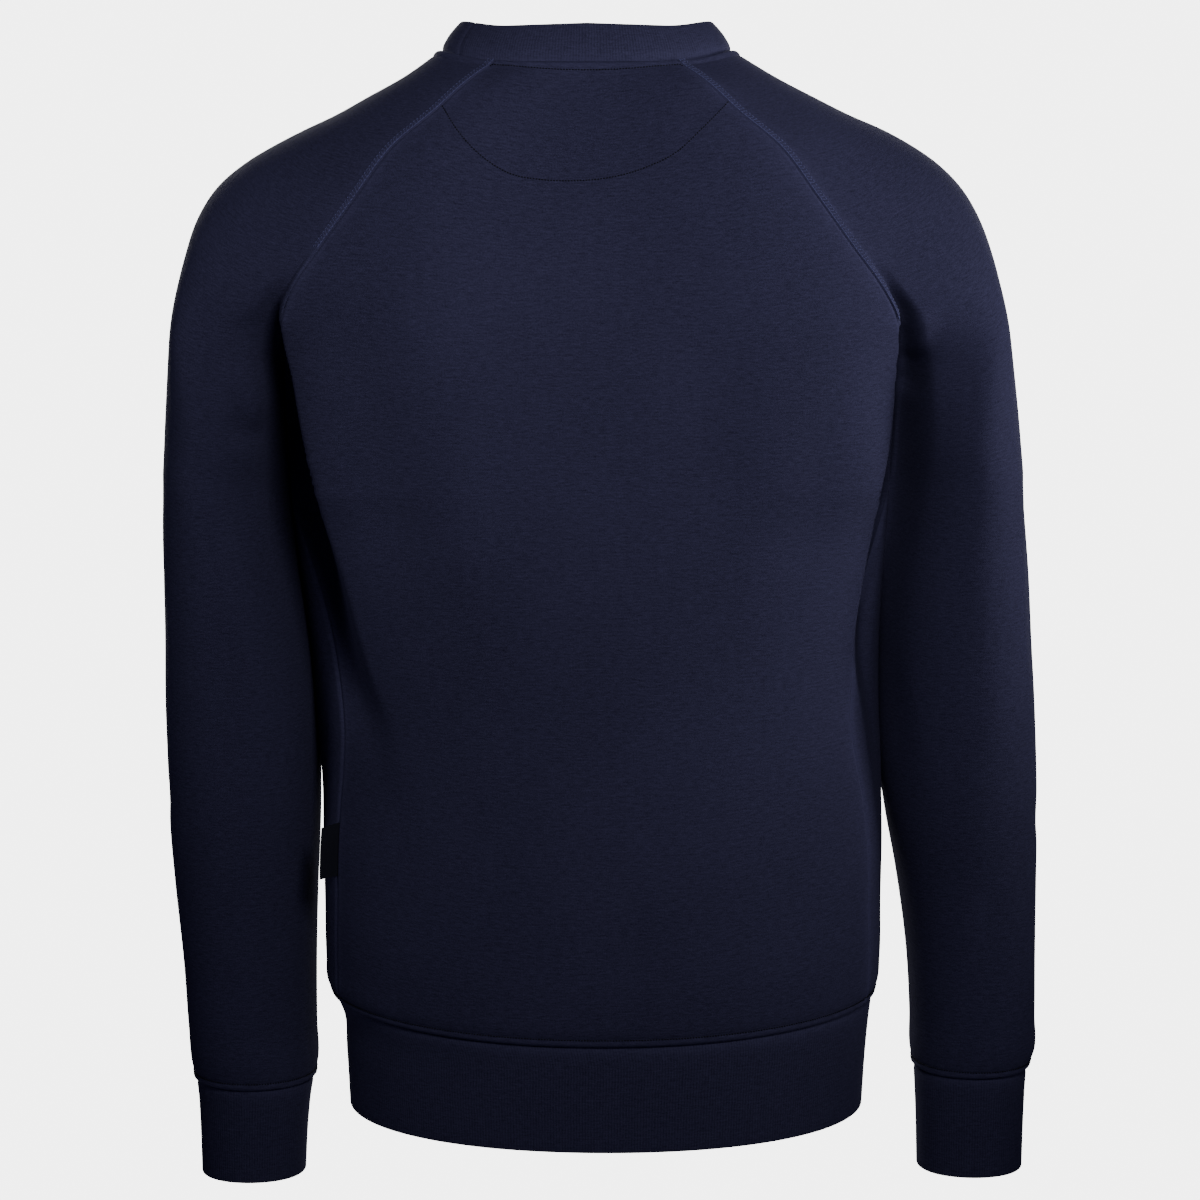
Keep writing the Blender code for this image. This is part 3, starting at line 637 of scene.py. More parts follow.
@dataclass
class SweatshirtForm:
    """The whole garment as one sewn sheet, parted into pieces at its seams.

    Attributes:
        hem_seam_z: Levels of the hem seam at the sides, the back and the front.
        hem_z: Levels of the hem band's folded edge, in the same order.
        hem_form: The hem band's widest places and its roundness, as in SIDES.
        hem_middle_x: The middle of that edge across the body.
        hem_shift: How far the middle moves from there up to the seam.
        hem_seam_back: Where the hem band is parted, behind its widest points.
        cuff_z: Level of each cuff's folded edge.
        raglan_length: Length of the raglan seams that the rows are spaced by.
        body_crowding: How much closer a panel's columns stand at its seams, from 0 to 1.
        sleeve_columns: Columns of half a sleeve.
        sleeve_crowding: The same as body_crowding for a sleeve.
        row_step: Largest spacing of the rows.
        band_crowding: Power that draws a band's rows towards its seam.
        neck_bulge: How far the neckband swells between its seam and its fold.
        neck_join: Direction of the neckband's short join, in degrees from +X.
        wear_reach: How far from a seam the cloth is painted paler, partly for rubbing and partly as
            painted highlight on the welts.
        plain_below: Distances below the underarm where the side seams' relief begins
            and where it is full.
        soft_rows: Reach of the evening out of the sleeves' fronts, in rows.
        soft_columns: Columns over which it fades in and out.
        soft_rounds: How often it is done.
    """

    cloth_wall: float = 0.0020
    rib_wall: float = 0.0030
    underarm_z: float = -0.2650
    hem_seam_z: tuple[float, float, float] = (-0.6040, -0.6134, -0.6100)
    hem_z: tuple[float, float, float] = (-0.6770, -0.6812, -0.6800)
    hem_form: dict[str, float] = field(
        default_factory=lambda: {"y": -0.002, "side_round": 0.60, "middle_round": 0.62}
    )
    hem_middle_x: float = -0.0125
    hem_shift: float = 0.0015
    hem_seam_back: float = 0.045
    cuff_seam_z: dict[Side, float] = field(
        default_factory=lambda: {Side.LEFT: -0.6715, Side.RIGHT: -0.6635}
    )
    cuff_z: dict[Side, float] = field(
        default_factory=lambda: {Side.LEFT: -0.7350, Side.RIGHT: -0.7315}
    )
    raglan_length: float = 0.3450
    body_columns: int = 120
    body_crowding: float = 0.75
    sleeve_columns: int = 50
    sleeve_crowding: float = 0.70
    row_step: float = 0.0044
    band_rows: int = 16
    band_crowding: float = 1.3
    neck_bulge: float = 0.0012
    neck_join: float = 28.0
    join_depth: float = 0.0009
    join_width: float = 0.0011
    wear_reach: float = 0.005
    plain_below: tuple[float, float] = (0.005, 0.045)
    soft_rows: float = 12.0
    soft_columns: tuple[int, int] = (10, 8)
    soft_rounds: int = 90
    creases: Sequence[Crease] = ()
    tucks: Sequence[Tuck] = ()

    def body_shares(self) -> Array:
        """Places across a body panel, four times as close at its seams as the average."""
        t = np.linspace(0.0, 1.0, self.body_columns + 1)
        return t - self.body_crowding * np.sin(2 * np.pi * t) / (2 * np.pi)

    def sleeve_shares(self) -> Array:
        """Places from a sleeve's seam to its outer line, closest at the seam."""
        t = np.linspace(0.0, 1.0, self.sleeve_columns + 1)
        return t - self.sleeve_crowding * np.sin(np.pi * t) / np.pi

    def band_shares(self) -> Array:
        """Places across a rib band from its seam to its folded edge, closest at the seam."""
        return np.linspace(0.0, 1.0, self.band_rows) ** self.band_crowding

    def yoke_body_row(self, face: Face, share: float) -> Array:
        """Row of the back or front between its raglan seams, from left to right.

        Args:
            face: The panel.
            share: How far down the raglan seams the row lies.

        Returns:
            The row's points.
        """
        behind = face is Face.BACK
        raglan, middle_run = (BACK_RAGLAN, SPINE) if behind else (FRONT_RAGLAN, CHEST)
        middle = middle_run.points(Side.LEFT, share)
        cut = YOKE.row(share)
        gain, dip = (1.0, 0.0) if behind else (cut["front_gain"], cut["front_dip"])
        halves = []
        for side in Side:
            seam = raglan.points(side, share)
            reach = np.linalg.norm(middle - seam)
            way = heading(side, face.value[1], cut["body_heading"]) - np.array([0.0, 0.0, dip])
            flat = np.array([side.value * cut["middle_pull"] * reach, 0.0, 0.0])
            halves.append(bezier(seam, way * cut["body_pull"] * gain * reach, flat, middle))
        return spread(np.vstack([halves[0], halves[1][-2::-1]]), self.body_shares())

    def yoke_sleeve_row(self, side: Side, share: float) -> Array:
        """Row of a sleeve from its back seam over the shoulder to its front seam.

        Args:
            side: The sleeve.
            share: How far down the raglan seams the row lies.

        Returns:
            The row's points.
        """
        crown = SHOULDER.points(side, share)
        cut = YOKE.row(share)
        halves = []
        for face, raglan in ((1.0, BACK_RAGLAN), (-1.0, FRONT_RAGLAN)):
            front = face < 0
            seam = raglan.points(side, share)
            span = SHOULDER.points(Side.LEFT, share) - raglan.points(Side.LEFT, share)
            reach = np.linalg.norm(span) * (cut["front_gain"] if front else 1.0)
            rise = np.array([0.0, 0.0, cut["front_dip"] if front else 0.0])
            way = heading(side, face, cut["sleeve_heading"]) + rise
            top = np.array([0.0, face, face * cut["crown_dip"]]) * cut["crown_pull"] * reach
            half = bezier(seam, way * cut["seam_pull"] * reach, top, crown)
            halves.append(spread(half, self.sleeve_shares()))
        return np.vstack([halves[0], halves[1][-2::-1]])

    def body_ring(
        self, z_side: float, sizes: dict[str, float], levels: tuple[float, float], middle_x: float
    ) -> Array:
        """Closed ring round the body.

        Args:
            z_side: Level of the ring at the sides.
            sizes: left, right, y, side_round, middle_round, back and front.
            levels: Level of the ring at the middle of the back and of the front.
            middle_x: Where those middles lie across the body.

        Returns:
            Close points from the left side over the back and the front.
        """
        quarters = []
        for level, reach in zip(levels, (sizes["back"], sizes["front"])):
            middle = np.array([middle_x, reach, level])
            for side in Side:
                corner = np.array([side.value * sizes[side.key], sizes["y"], z_side])
                side_pull = np.array([0.0, sizes["side_round"] * (reach - sizes["y"]), 0.0])
                flat = np.array([sizes["middle_round"] * (corner[0] - middle_x), 0.0, 0.0])
                quarters.append(bezier(corner, side_pull, flat, middle))
        back_left, back_right, front_left, front_right = quarters
        return np.vstack([back_left, back_right[-2::-1], front_right[1:], front_left[-2::-1]])

    def split_ring(self, ring: Array, seam_back: float) -> tuple[Array, Array]:
        """Back and front rows of a body ring, parted at the side seams.

        Args:
            ring: The ring's points from the left side over the back.
            seam_back: How far behind the widest points the side seams lie.

        Returns:
            The back's row and the front's row.
        """
        along = lengths_along(ring)
        total, to_right = along[-1], along[np.argmin(ring[:, 0])]
        shares = self.body_shares()
        back = (seam_back + (to_right - 2 * seam_back) * shares) / total
        front = (to_right - seam_back + (total - to_right + 2 * seam_back) * shares) / total
        return spread(ring, back), spread(np.vstack([ring, ring[1:]]), front / 2.0)

    def trunk_rows(self, up: float) -> tuple[Array, Array]:
        """Back and front rows of the trunk.

        Args:
            up: Share of the way up from the hem seam to the underarm.

        Returns:
            The back's row and the front's row.
        """
        z_side, z_back, z_front = (z + (self.underarm_z - z) * up for z in self.hem_seam_z)
        side, middle = SIDES.row(z_side), MIDDLES.row(z_back)
        ring = self.body_ring(z_side, side | middle, (z_back, z_front), middle["x"])
        return self.split_ring(ring, side["seam_back"])

    def hem_band_row(self, up: float) -> Array:
        """Ring of the hem band.

        Args:
            up: Share of the way up from its folded edge to its seam.

        Returns:
            The ring's points, the back's first.
        """
        sizes = HEM_RINGS.row(up) | self.hem_form
        ends = zip(self.hem_z, self.hem_seam_z)
        z_side, z_back, z_front = (low + (high - low) * up for low, high in ends)
        middle_x = self.hem_middle_x + self.hem_shift * ease(np.array(up), *HEM_RINGS_LAST)
        ring = self.body_ring(z_side, sizes, (z_back, z_front), float(middle_x))
        back, front = self.split_ring(ring, self.hem_seam_back)
        return np.vstack([back, front[1:]])

    def arm_ring(self, side: Side, z: float, sizes: dict[str, float]) -> Array:
        """Ring of a sleeve or cuff from the underarm line over its back, outside and front.

        Args:
            side: The sleeve.
            z: Level of the ring.
            sizes: A row of the arm or cuff table.

        Returns:
            The ring's points.
        """
        inner = np.array([side.value * sizes["inner_" + side.key], sizes["inner_y"], z])
        outer = np.array([side.value * sizes["outer_" + side.key], sizes["outer_y"], z])
        halves = []
        # handles four thirds of a depth long take the curve out to that depth
        for face, name in ((1.0, "back_depth"), (-1.0, "front_depth")):
            depth = sizes.get(name, sizes.get("depth"))
            pull = heading(side, face, 90 - sizes.get("fold", 0.0)) * depth * 4 / 3
            half = bezier(inner, pull, np.array([0.0, face * depth * 4 / 3, 0.0]), outer)
            halves.append(spread(half, self.sleeve_shares()))
        return np.vstack([halves[0], halves[1][-2::-1]])

    def neckband_rows(self, seam: Array) -> Array:
        """Rows of the neckband, from its seam up to its folded edge.

        Args:
            seam: Points of the neck seam.

        Returns:
            The rows.
        """
        facing = np.degrees(np.arctan2(seam[:, 1], np.abs(seam[:, 0])))
        lean = np.radians(NECK_RING.read("lean", facing))
        height = NECK_RING.read("height", facing)
        inwards = -unit(seam[:, :2])
        rows = []
        for share in self.band_shares():
            rise, bulge = height * share, self.neck_bulge * np.sin(np.pi * share)
            level = (rise * np.sin(lean) - bulge * np.cos(lean))[:, None] * inwards
            rows.append(seam + np.column_stack([level, rise * np.cos(lean) + bulge * np.sin(lean)]))
        return np.array(rows)

    def pieces(self) -> dict[str, Piece]:
        """Lays out the sewn sheet, gives it its creases and seams, and parts it.

        Returns:
            Every piece by the name of the node that it replaces.
        """
        down = places_from_seam(self.raglan_length, self.row_step)[::-1] / self.raglan_length
        back = np.array([self.yoke_body_row(Face.BACK, share) for share in down])
        front = np.array([self.yoke_body_row(Face.FRONT, share)[::-1] for share in down])
        length = self.underarm_z - self.hem_seam_z[0]
        up = places_from_seam(length, self.row_step) / length
        trunk = [self.trunk_rows(share) for share in up]
        low_back = np.array([rows[0] for rows in trunk])
        low_front = np.array([rows[1] for rows in trunk])
        low_back[-1], low_front[-1] = back[0], front[0]
        low_front[:, 0], low_front[:, -1] = low_back[:, -1], low_back[:, 0]
        made = [
            Piece(
                name,
                np.vstack([low[:-1], high]),
                self.cloth_wall,
                BODY_SIDES | WELTED_ENDS,
                underarm=len(low) - 1,
            )
            for name, low, high in (("back", low_back, back), ("front", low_front, front))
        ]
        tops = {}
        for side in Side:
            made += self.arm_pieces(side, down, back, front)
            tops[side] = made[-2].base[-1]
        hem = np.array([self.hem_band_row(1.0 - share) for share in self.band_shares()[::-1]])
        hem[-1] = np.vstack([low_back[0], low_front[0][1:]])
        made.append(Piece("hem_band", hem, self.rib_wall, CLOSED_RING | HANGING_BAND))
        right, left = tops[Side.RIGHT], tops[Side.LEFT]
        neck = self.neckband_rows(np.vstack([back[-1], right[1:], front[-1][1:], left[1:]]))
        made.append(Piece("neckband", neck, self.rib_wall, CLOSED_RING | STANDING_BAND))
        self.settle(made)
        return {piece.name: piece for piece in made}

    def arm_pieces(self, side: Side, down: Array, back: Array, front: Array) -> list[Piece]:
        """Sleeve and cuff of one side.

        Args:
            side: The side.
            down: Shares of the rows above the underarm, from there up to the neck.
            back: The back panel's rows above the underarm.
            front: The front panel's rows above the underarm.

        Returns:
            The sleeve and the cuff.
        """
        yoke = np.array([self.yoke_sleeve_row(side, share) for share in down])
        column = 0 if side is Side.LEFT else -1
        yoke[:, 0], yoke[:, -1] = back[:, column], front[:, -1 - column]
        seam_z = self.cuff_seam_z[side]
        length = self.underarm_z - seam_z
        places = places_from_seam(length, self.row_step)[:-1]
        low, high = ARMS.rows[0][0], ARMS.rows[-1][0]
        rings = [
            self.arm_ring(side, seam_z + place, ARMS.row(low + place * (high - low) / length))
            for place in places
        ]
        edge_z = self.cuff_z[side]
        rise = seam_z - edge_z
        shares = (1.0 - self.band_shares())[::-1]
        cuff = np.array(
            [self.arm_ring(side, edge_z + rise * up, CUFF_RINGS.row(up)) for up in shares]
        )
        cuff[-1] = rings[0]
        sleeve = np.vstack([np.array(rings), yoke])
        self.soften_front(sleeve, len(rings))
        if side is Side.LEFT:
            sleeve, cuff = sleeve[:, ::-1], cuff[:, ::-1]
        seams = SLEEVE_SIDES | WELTED_ENDS
        return [
            Piece(f"sleeve_{side.key}", sleeve, self.cloth_wall, seams, underarm=len(rings)),
            Piece(f"cuff_{side.key}", cuff, self.rib_wall, CLOSED_RING | HANGING_BAND),
        ]

    def soften_front(self, sleeve: Array, underarm: int) -> None:
        """Evens out the front of a sleeve, where its yoke runs into its rings.

        Args:
            sleeve: The sleeve's rows from the cuff up, changed in place.
            underarm: Index of the row where the two meet.
        """
        rows, columns = np.arange(len(sleeve)), np.arange(sleeve.shape[1])
        near = np.exp(-(((rows - underarm) / self.soft_rows) ** 2))
        fade_in, fade_out = self.soft_columns
        front = ease(columns, self.sleeve_columns, self.sleeve_columns + fade_in)
        front = front * ease(2 * self.sleeve_columns - columns, 0, fade_out)
        weight = 0.5 * (near[:, None] * front)[1:-1, :, None]
        for _ in range(self.soft_rounds):
            sleeve[1:-1] += weight * ((sleeve[:-2] + sleeve[2:]) / 2 - sleeve[1:-1])

    def settle(self, pieces: list[Piece]) -> None:
        """Gives all the pieces their shared directions, creases, seams and cloth places.

        Args:
            pieces: The pieces, changed in place. Their points on a seam coincide.
        """
        flat = np.vstack([piece.base.reshape(-1, 3) for piece in pieces])
        _, index = np.unique(np.round(flat, WELD_DIGITS), axis=0, return_inverse=True)
        index = index.reshape(-1)
        self.share_directions(pieces, index)
        moves = np.vstack([self.moves(piece).reshape(-1, 3) for piece in pieces])
        counts = np.bincount(index)
        shared = [(np.bincount(index, moves[:, axis]) / counts)[index] for axis in range(3)]
        moves = np.stack(shared, axis=1)
        start = 0
        for piece in pieces:
            size = piece.base.shape[0] * piece.base.shape[1]
            piece.base = piece.base + moves[start : start + size].reshape(piece.base.shape)
            start += size
        self.share_directions(pieces, index)
        for piece in pieces:
            self.sew(piece)

    def share_directions(self, pieces: list[Piece], index: Array) -> None:
        """Finds the outward direction at every point, the same on both sides of a seam.

        Args:
            pieces: The pieces, whose directions are set.
            index: For every point of all the pieces, the number it shares on a seam.
        """
        total = np.zeros((index.max() + 1, 3))
        start = 0
        spans = []
        for piece in pieces:
            rows, columns = piece.base.shape[:2]
            here = index[start : start + rows * columns].reshape(rows, columns)
            spans.append(here)
            start += rows * columns
            spots = cell_corners(piece.base)
            faces = unit(np.cross(spots[2] - spots[0], spots[3] - spots[1]))
            for corner, shared in enumerate(cell_corners(here)):
                ahead = unit(spots[(corner + 1) % 4] - spots[corner])
                behind = unit(spots[(corner + 3) % 4] - spots[corner])
                angle = np.arccos(np.clip((ahead * behind).sum(axis=-1), -1.0, 1.0))
                np.add.at(total, shared.ravel(), (faces * angle[..., None]).reshape(-1, 3))
        total = unit(total)
        for piece, here in zip(pieces, spans):
            piece.out = total[here]

    def moves(self, piece: Piece) -> Array:
        """How far the creases and tucks move a piece.

        Args:
            piece: The piece.

        Returns:
            The move of every point.
        """
        heights = np.zeros(piece.base.shape[:2])
        for crease in self.creases:
            if not crease.pieces or piece.name in crease.pieces:
                axis, sign = crease.face.value
                flat, facing = piece.base[..., [1 - axis, 2]], piece.out[..., axis] * sign
                heights += crease.heights(flat, facing)
        moves = piece.out * heights[..., None]
        for tuck in self.tucks:
            axis, sign = tuck.face.value
            above = ease(piece.base[..., axis] * sign, *tuck.begins)
            moves[..., axis] += sign * above * tuck.moves(piece.base)
        return moves

    def sew(self, piece: Piece) -> None:
        """Presses the seams into a piece and lays its grid out in the flat cloth.

        Args:
            piece: The piece, whose relief, wear and places in the cloth are set. The wear paints
                the cloth paler by its seams, partly for rubbing and partly as painted highlight.
        """
        relief = np.zeros(piece.base.shape[:2])
        wear = np.zeros_like(relief)
        above = np.arange(len(relief))[:, None] >= piece.underarm
        for border, seam in piece.seams.items():
            if seam in (Seam.RING, Seam.FOLDED):
                continue
            far = piece.distance(border)
            rise = seam_profile(seam, far)
            if border in (Border.FIRST, Border.LAST):
                clear = ease(self.underarm_z - piece.base[..., 2], *self.plain_below)
                rise = np.where(above, rise, seam_profile(piece.low_seam, far) * clear)
            relief += rise
            # nearness of the seam, which paints the cloth paler, partly for rubbing and partly as
            # painted highlight on the welt
            wear = np.maximum(wear, np.exp(-far / self.wear_reach))
        if piece.name == "neckband":
            turn = np.degrees(np.arctan2(piece.base[0, :, 1], piece.base[0, :, 0]))
            join = int(np.argmin(np.abs(turn - self.neck_join)))
            away = np.linalg.norm(piece.base - piece.base[:, join : join + 1], axis=-1)
            relief -= self.join_depth * np.exp(-((away / self.join_width) ** 2))
        middle = piece.base.shape[1] // 2
        across = piece.distance(Border.FIRST)
        if piece.seams[Border.FIRST] is Seam.RING:
            seam_row = across[-1:] if piece.seams[Border.TOP] is Seam.BAND else across[:1]
            across = np.repeat(seam_row, len(across), 0)
        else:
            across = across - across[:, middle : middle + 1]
        upward = piece.distance(Border.BOTTOM)[:, middle : middle + 1]
        piece.relief, piece.wear = relief, wear
        piece.cloth = np.stack([across, np.repeat(upward, across.shape[1], 1)], axis=-1)


@dataclass(frozen=True)
class Ridge:
    """A rounded ridge (+) or groove (-) that a seam presses into the cloth along itself."""

    height: float
    width: float
    away: float = 0.0

    def read(self, far: Array) -> Array:
        """Its height at distances from the seam."""
        return self.height * np.exp(-(((far - self.away) / self.width) ** 2))


SEAM_RIDGES = {
    Seam.RAGLAN_SLEEVE: (Ridge(-0.0008, 0.0014),),
    Seam.RAGLAN_BODY: (Ridge(0.0003, 0.0016, 0.0022), Ridge(-0.0009, 0.0014)),
    Seam.WELT: (Ridge(-0.0004, 0.0009, 0.0062), Ridge(-0.0010, 0.0014)),
    Seam.BAND: (Ridge(-0.0012, 0.0020),),
    Seam.PLAIN: (Ridge(0.0002, 0.0020, 0.0030), Ridge(-0.0009, 0.0014)),
}
# The layers of a raglan seam lift the sleeve this far up to the cover stitch's edge.
RAGLAN_LIFT = 0.00050
RAGLAN_EDGE = (0.0044, 0.0064)
RAGLAN_START = 0.0012
# The allowance under a welt bulges this far, and ends at its row of stitches.
WELT_LIFT = 0.0011
WELT_END = 0.0068
WELT_LEAN = 0.85


def seam_profile(seam: Seam, far: Array) -> Array:
    """Height of the outer face beside a seam.

    Args:
        seam: How the border is sewn.
        far: Distance from it.

    Returns:
        The height over the form.
    """
    height = np.zeros_like(far)
    if seam is Seam.RAGLAN_SLEEVE:
        height = RAGLAN_LIFT * (1.0 - ease(far, *RAGLAN_EDGE)) * ease(far, 0.0, RAGLAN_START)
    elif seam is Seam.WELT:
        height = WELT_LIFT * np.sin(np.pi * np.clip(far / WELT_END, 0.0, 1.0) ** WELT_LEAN)
    for ridge in SEAM_RIDGES[seam]:
        height = height + ridge.read(far)
    return height


# ---------------------------------------------------------------------------
# Meshes
# ---------------------------------------------------------------------------

# Edges bent more than this many degrees are shaded as sharp.
SHARP_ANGLE = 58
# Rows that round a folded edge, and how far it rounds out as a share of half the wall.
FOLD_ROWS = 5
FOLD_REACH = 0.8
# A quad's corners in the order that turns it over.
TURNED_OVER = [0, 3, 2, 1]


def cell_corners(grid: Array) -> list[Array]:
    """The four corners of every cell of a grid, one grid for each corner in turn."""
    return [grid[:-1, :-1], grid[:-1, 1:], grid[1:, 1:], grid[1:, :-1]]


def quads(index: Array) -> Array:
    """The quads between a grid's points, as rows of four of its indices."""
    return np.stack(cell_corners(index), axis=-1).reshape(-1, 4)


def closed_rows(rows: int, around: int) -> Array:
    """Indices of rows of points that each close on themselves, the first point twice."""
    index = np.arange(rows * around).reshape(rows, around)
    return np.hstack([index, index[:, :1]])


def new_object(name: str, mesh: bpy.types.Mesh) -> bpy.types.Object:
    """Puts a mesh into the scene.

    Args:
        name: Name of the object.
        mesh: Its mesh.

    Returns:
        The object, at the origin.
    """
    made = bpy.data.objects.new(name, mesh)
    bpy.context.scene.collection.objects.link(made)
    return made


def mesh_of(name: str, points: Array, faces: Array, places: Array | None = None) -> bpy.types.Mesh:
    """Makes a smooth mesh of quads.

    Args:
        name: Name of the mesh.
        points: Its points.
        faces: Its quads as rows of four indices.
        places: For each quad's corners, the place in the flat cloth.

    Returns:
        The mesh, with a UV map "cloth" in metres if places are given.
    """
    mesh = bpy.data.meshes.new(name)
    mesh.vertices.add(len(points))
    mesh.vertices.foreach_set("co", np.ascontiguousarray(points, np.float32).ravel())
    mesh.loops.add(faces.size)
    mesh.loops.foreach_set("vertex_index", faces.astype(np.int32).ravel())
    mesh.polygons.add(len(faces))
    mesh.polygons.foreach_set("loop_start", np.arange(0, faces.size, 4, dtype=np.int32))
    if places is not None:
        layer = mesh.uv_layers.new(name="cloth")
        layer.uv.foreach_set("vector", np.ascontiguousarray(places, np.float32).ravel())
    mesh.update(calc_edges=True)
    mesh.validate()
    mesh.shade_smooth()
    mesh.set_sharp_from_angle(angle=np.radians(SHARP_ANGLE))
    return mesh


def folded_edge(outer: Array, inner: Array, before: Array) -> Array:
    """Rows that round a folded edge from the outer face to the inner one.

    Args:
        outer: Last row of the outer face.
        inner: Last row of the inner face.
        before: The outer row before the last, which gives the way out.

    Returns:
        The rows.
    """
    middle, half = (outer + inner) / 2, (outer - inner) / 2
    away = unit(outer - before) * np.linalg.norm(half, axis=-1, keepdims=True) * FOLD_REACH
    turns = np.radians(np.linspace(0, 180, FOLD_ROWS + 2)[1:-1])
    return np.array([middle + half * np.cos(turn) + away * np.sin(turn) for turn in turns])


def shell(piece: Piece) -> bpy.types.Object:
    """Makes a piece of cloth: its outer face, its inner face and what joins them.

    Args:
        piece: The piece.

    Returns:
        The closed shell, with UV map "cloth" and attribute "wear", which paints the cloth paler by
        its seams as painted highlight and rubbing.
    """
    outer = piece.outer
    inner = piece.base - piece.out * piece.wall
    rows, columns = outer.shape[:2]
    loop, walk = [outer], list(range(rows))
    if piece.seams[Border.TOP] is Seam.FOLDED:
        loop.append(folded_edge(outer[-1], inner[-1], outer[-2]))
        walk += [rows - 1] * FOLD_ROWS
    loop.append(inner[::-1])
    walk += list(range(rows))[::-1]
    if piece.seams[Border.BOTTOM] is Seam.FOLDED:
        loop.append(folded_edge(outer[0], inner[0], outer[1])[::-1])
        walk += [0] * FOLD_ROWS
    grid = np.concatenate(loop)
    count = len(grid)
    ring = piece.seams[Border.FIRST] is Seam.RING
    index = np.arange(count * columns).reshape(count, columns)
    if ring:
        index[:, -1] = index[:, 0]
    faces = quads(np.vstack([index, index[:1]]))
    cloth = piece.cloth[np.array(walk + [0])]
    places = np.stack(cell_corners(cloth), axis=-2).reshape(-1, 4, 2)
    if not ring:
        for column, turn in ((0, 1), (-1, -1)):
            out_line, in_line = index[:rows, column], index[rows : 2 * rows, column][::-1]
            wall = np.stack([out_line[:-1], out_line[1:], in_line[1:], in_line[:-1]], axis=-1)
            spot = piece.cloth[:, column]
            side = np.stack([spot[:-1], spot[1:], spot[1:], spot[:-1]], axis=1)
            faces = np.vstack([faces, wall[:, ::turn]])
            places = np.vstack([places, side[:, ::turn]])
    mesh = mesh_of(piece.name, grid.reshape(-1, 3), faces, places)
    wear = mesh.attributes.new("wear", "FLOAT", "POINT")
    wear.data.foreach_set("value", piece.wear[np.array(walk)].astype(np.float32).ravel())
    return new_object(f"{piece.name}_cloth", mesh)


# ---------------------------------------------------------------------------
# Finishes
# ---------------------------------------------------------------------------


def colour(text: str) -> tuple[float, float, float, float]:
    """Linear colour of an sRGB hex value.

    Args:
        text: The value, as "#RRGGBB".

    Returns:
        Linear red, green, blue and an alpha of one.
    """
    parts = [int(text[at : at + 2], 16) / 255 for at in (1, 3, 5)]
    red, green, blue = (
        part / 12.92 if part <= 0.04045 else ((part + 0.055) / 1.055) ** 2.4 for part in parts
    )
    return (red, green, blue, 1.0)


def add(tree: Tree, kind: str, links: dict | None = None, **settings: object) -> bpy.types.Node:
    """Adds a node to a tree.

    Args:
        tree: The tree.
        kind: The node's type.
        links: For each input, by name or number, a socket to link or a value to set.
        settings: The node's own settings.

    Returns:
        The node.
    """
    node = tree.nodes.new(kind)
    for name, value in settings.items():
        setattr(node, name, value)
    for name, value in (links or {}).items():
        if isinstance(value, Socket):
            tree.links.new(value, node.inputs[name])
        else:
            node.inputs[name].default_value = value
    return node


def layered(tree: Tree, start: float, *layers: tuple[Socket, float]) -> Socket:
    """Adds up the layers of a pattern.

    Args:
        tree: The material's tree.
        start: What is added to them all.
        layers: Each layer's value and weight.

    Returns:
        The sum.
    """
    total = start
    for value, weight in layers:
        links = {0: value, 1: weight, 2: total}
        total = add(tree, "ShaderNodeMath", links, operation="MULTIPLY_ADD").outputs[0]
    return total


def wave(tree: Tree, *turns: tuple[Socket, float]) -> Socket:
    """A wave from -1 to 1 over a pattern, its phase in turns as the layers' sum."""
    phase = layered(tree, 0.0, *((value, weight * 2 * np.pi) for value, weight in turns))
    return add(tree, "ShaderNodeMath", {0: phase}, operation="SINE").outputs[0]


def cleared(name: str) -> tuple[Material, Tree, bpy.types.Node]:
    """Starts a material.

    Args:
        name: The material's name.

    Returns:
        The material, its tree, and the Principled shader that is alone in it.
    """
    made = bpy.data.materials.new(name)
    made.use_nodes = True
    made.node_tree.nodes.clear()
    shader = add(made.node_tree, "ShaderNodeBsdfPrincipled")
    add(made.node_tree, "ShaderNodeOutputMaterial", {"Surface": shader.outputs[0]})
    return made, made.node_tree, shader


def colour_and_bump(
    tree: Tree,
    shader: bpy.types.Node,
    share: Socket,
    low: tuple,
    high: tuple,
    height: Socket,
    depth: float,
) -> None:
    """Gives a shader two mixed colours and a fine relief.

    Args:
        tree: The material's tree.
        shader: Its shader.
        share: How much of the high colour shows.
        low: Linear colour where share is 0.
        high: Linear colour where share is 1.
        height: Height of the relief, from 0 to 1.
        depth: Depth of the relief.
    """
    mix = add(tree, "ShaderNodeMix", {0: share, 6: low, 7: high}, data_type="RGBA")
    tree.links.new(mix.outputs[2], shader.inputs["Base Color"])
    bump = add(tree, "ShaderNodeBump", {"Height": height, "Distance": depth})
    tree.links.new(bump.outputs[0], shader.inputs["Normal"])


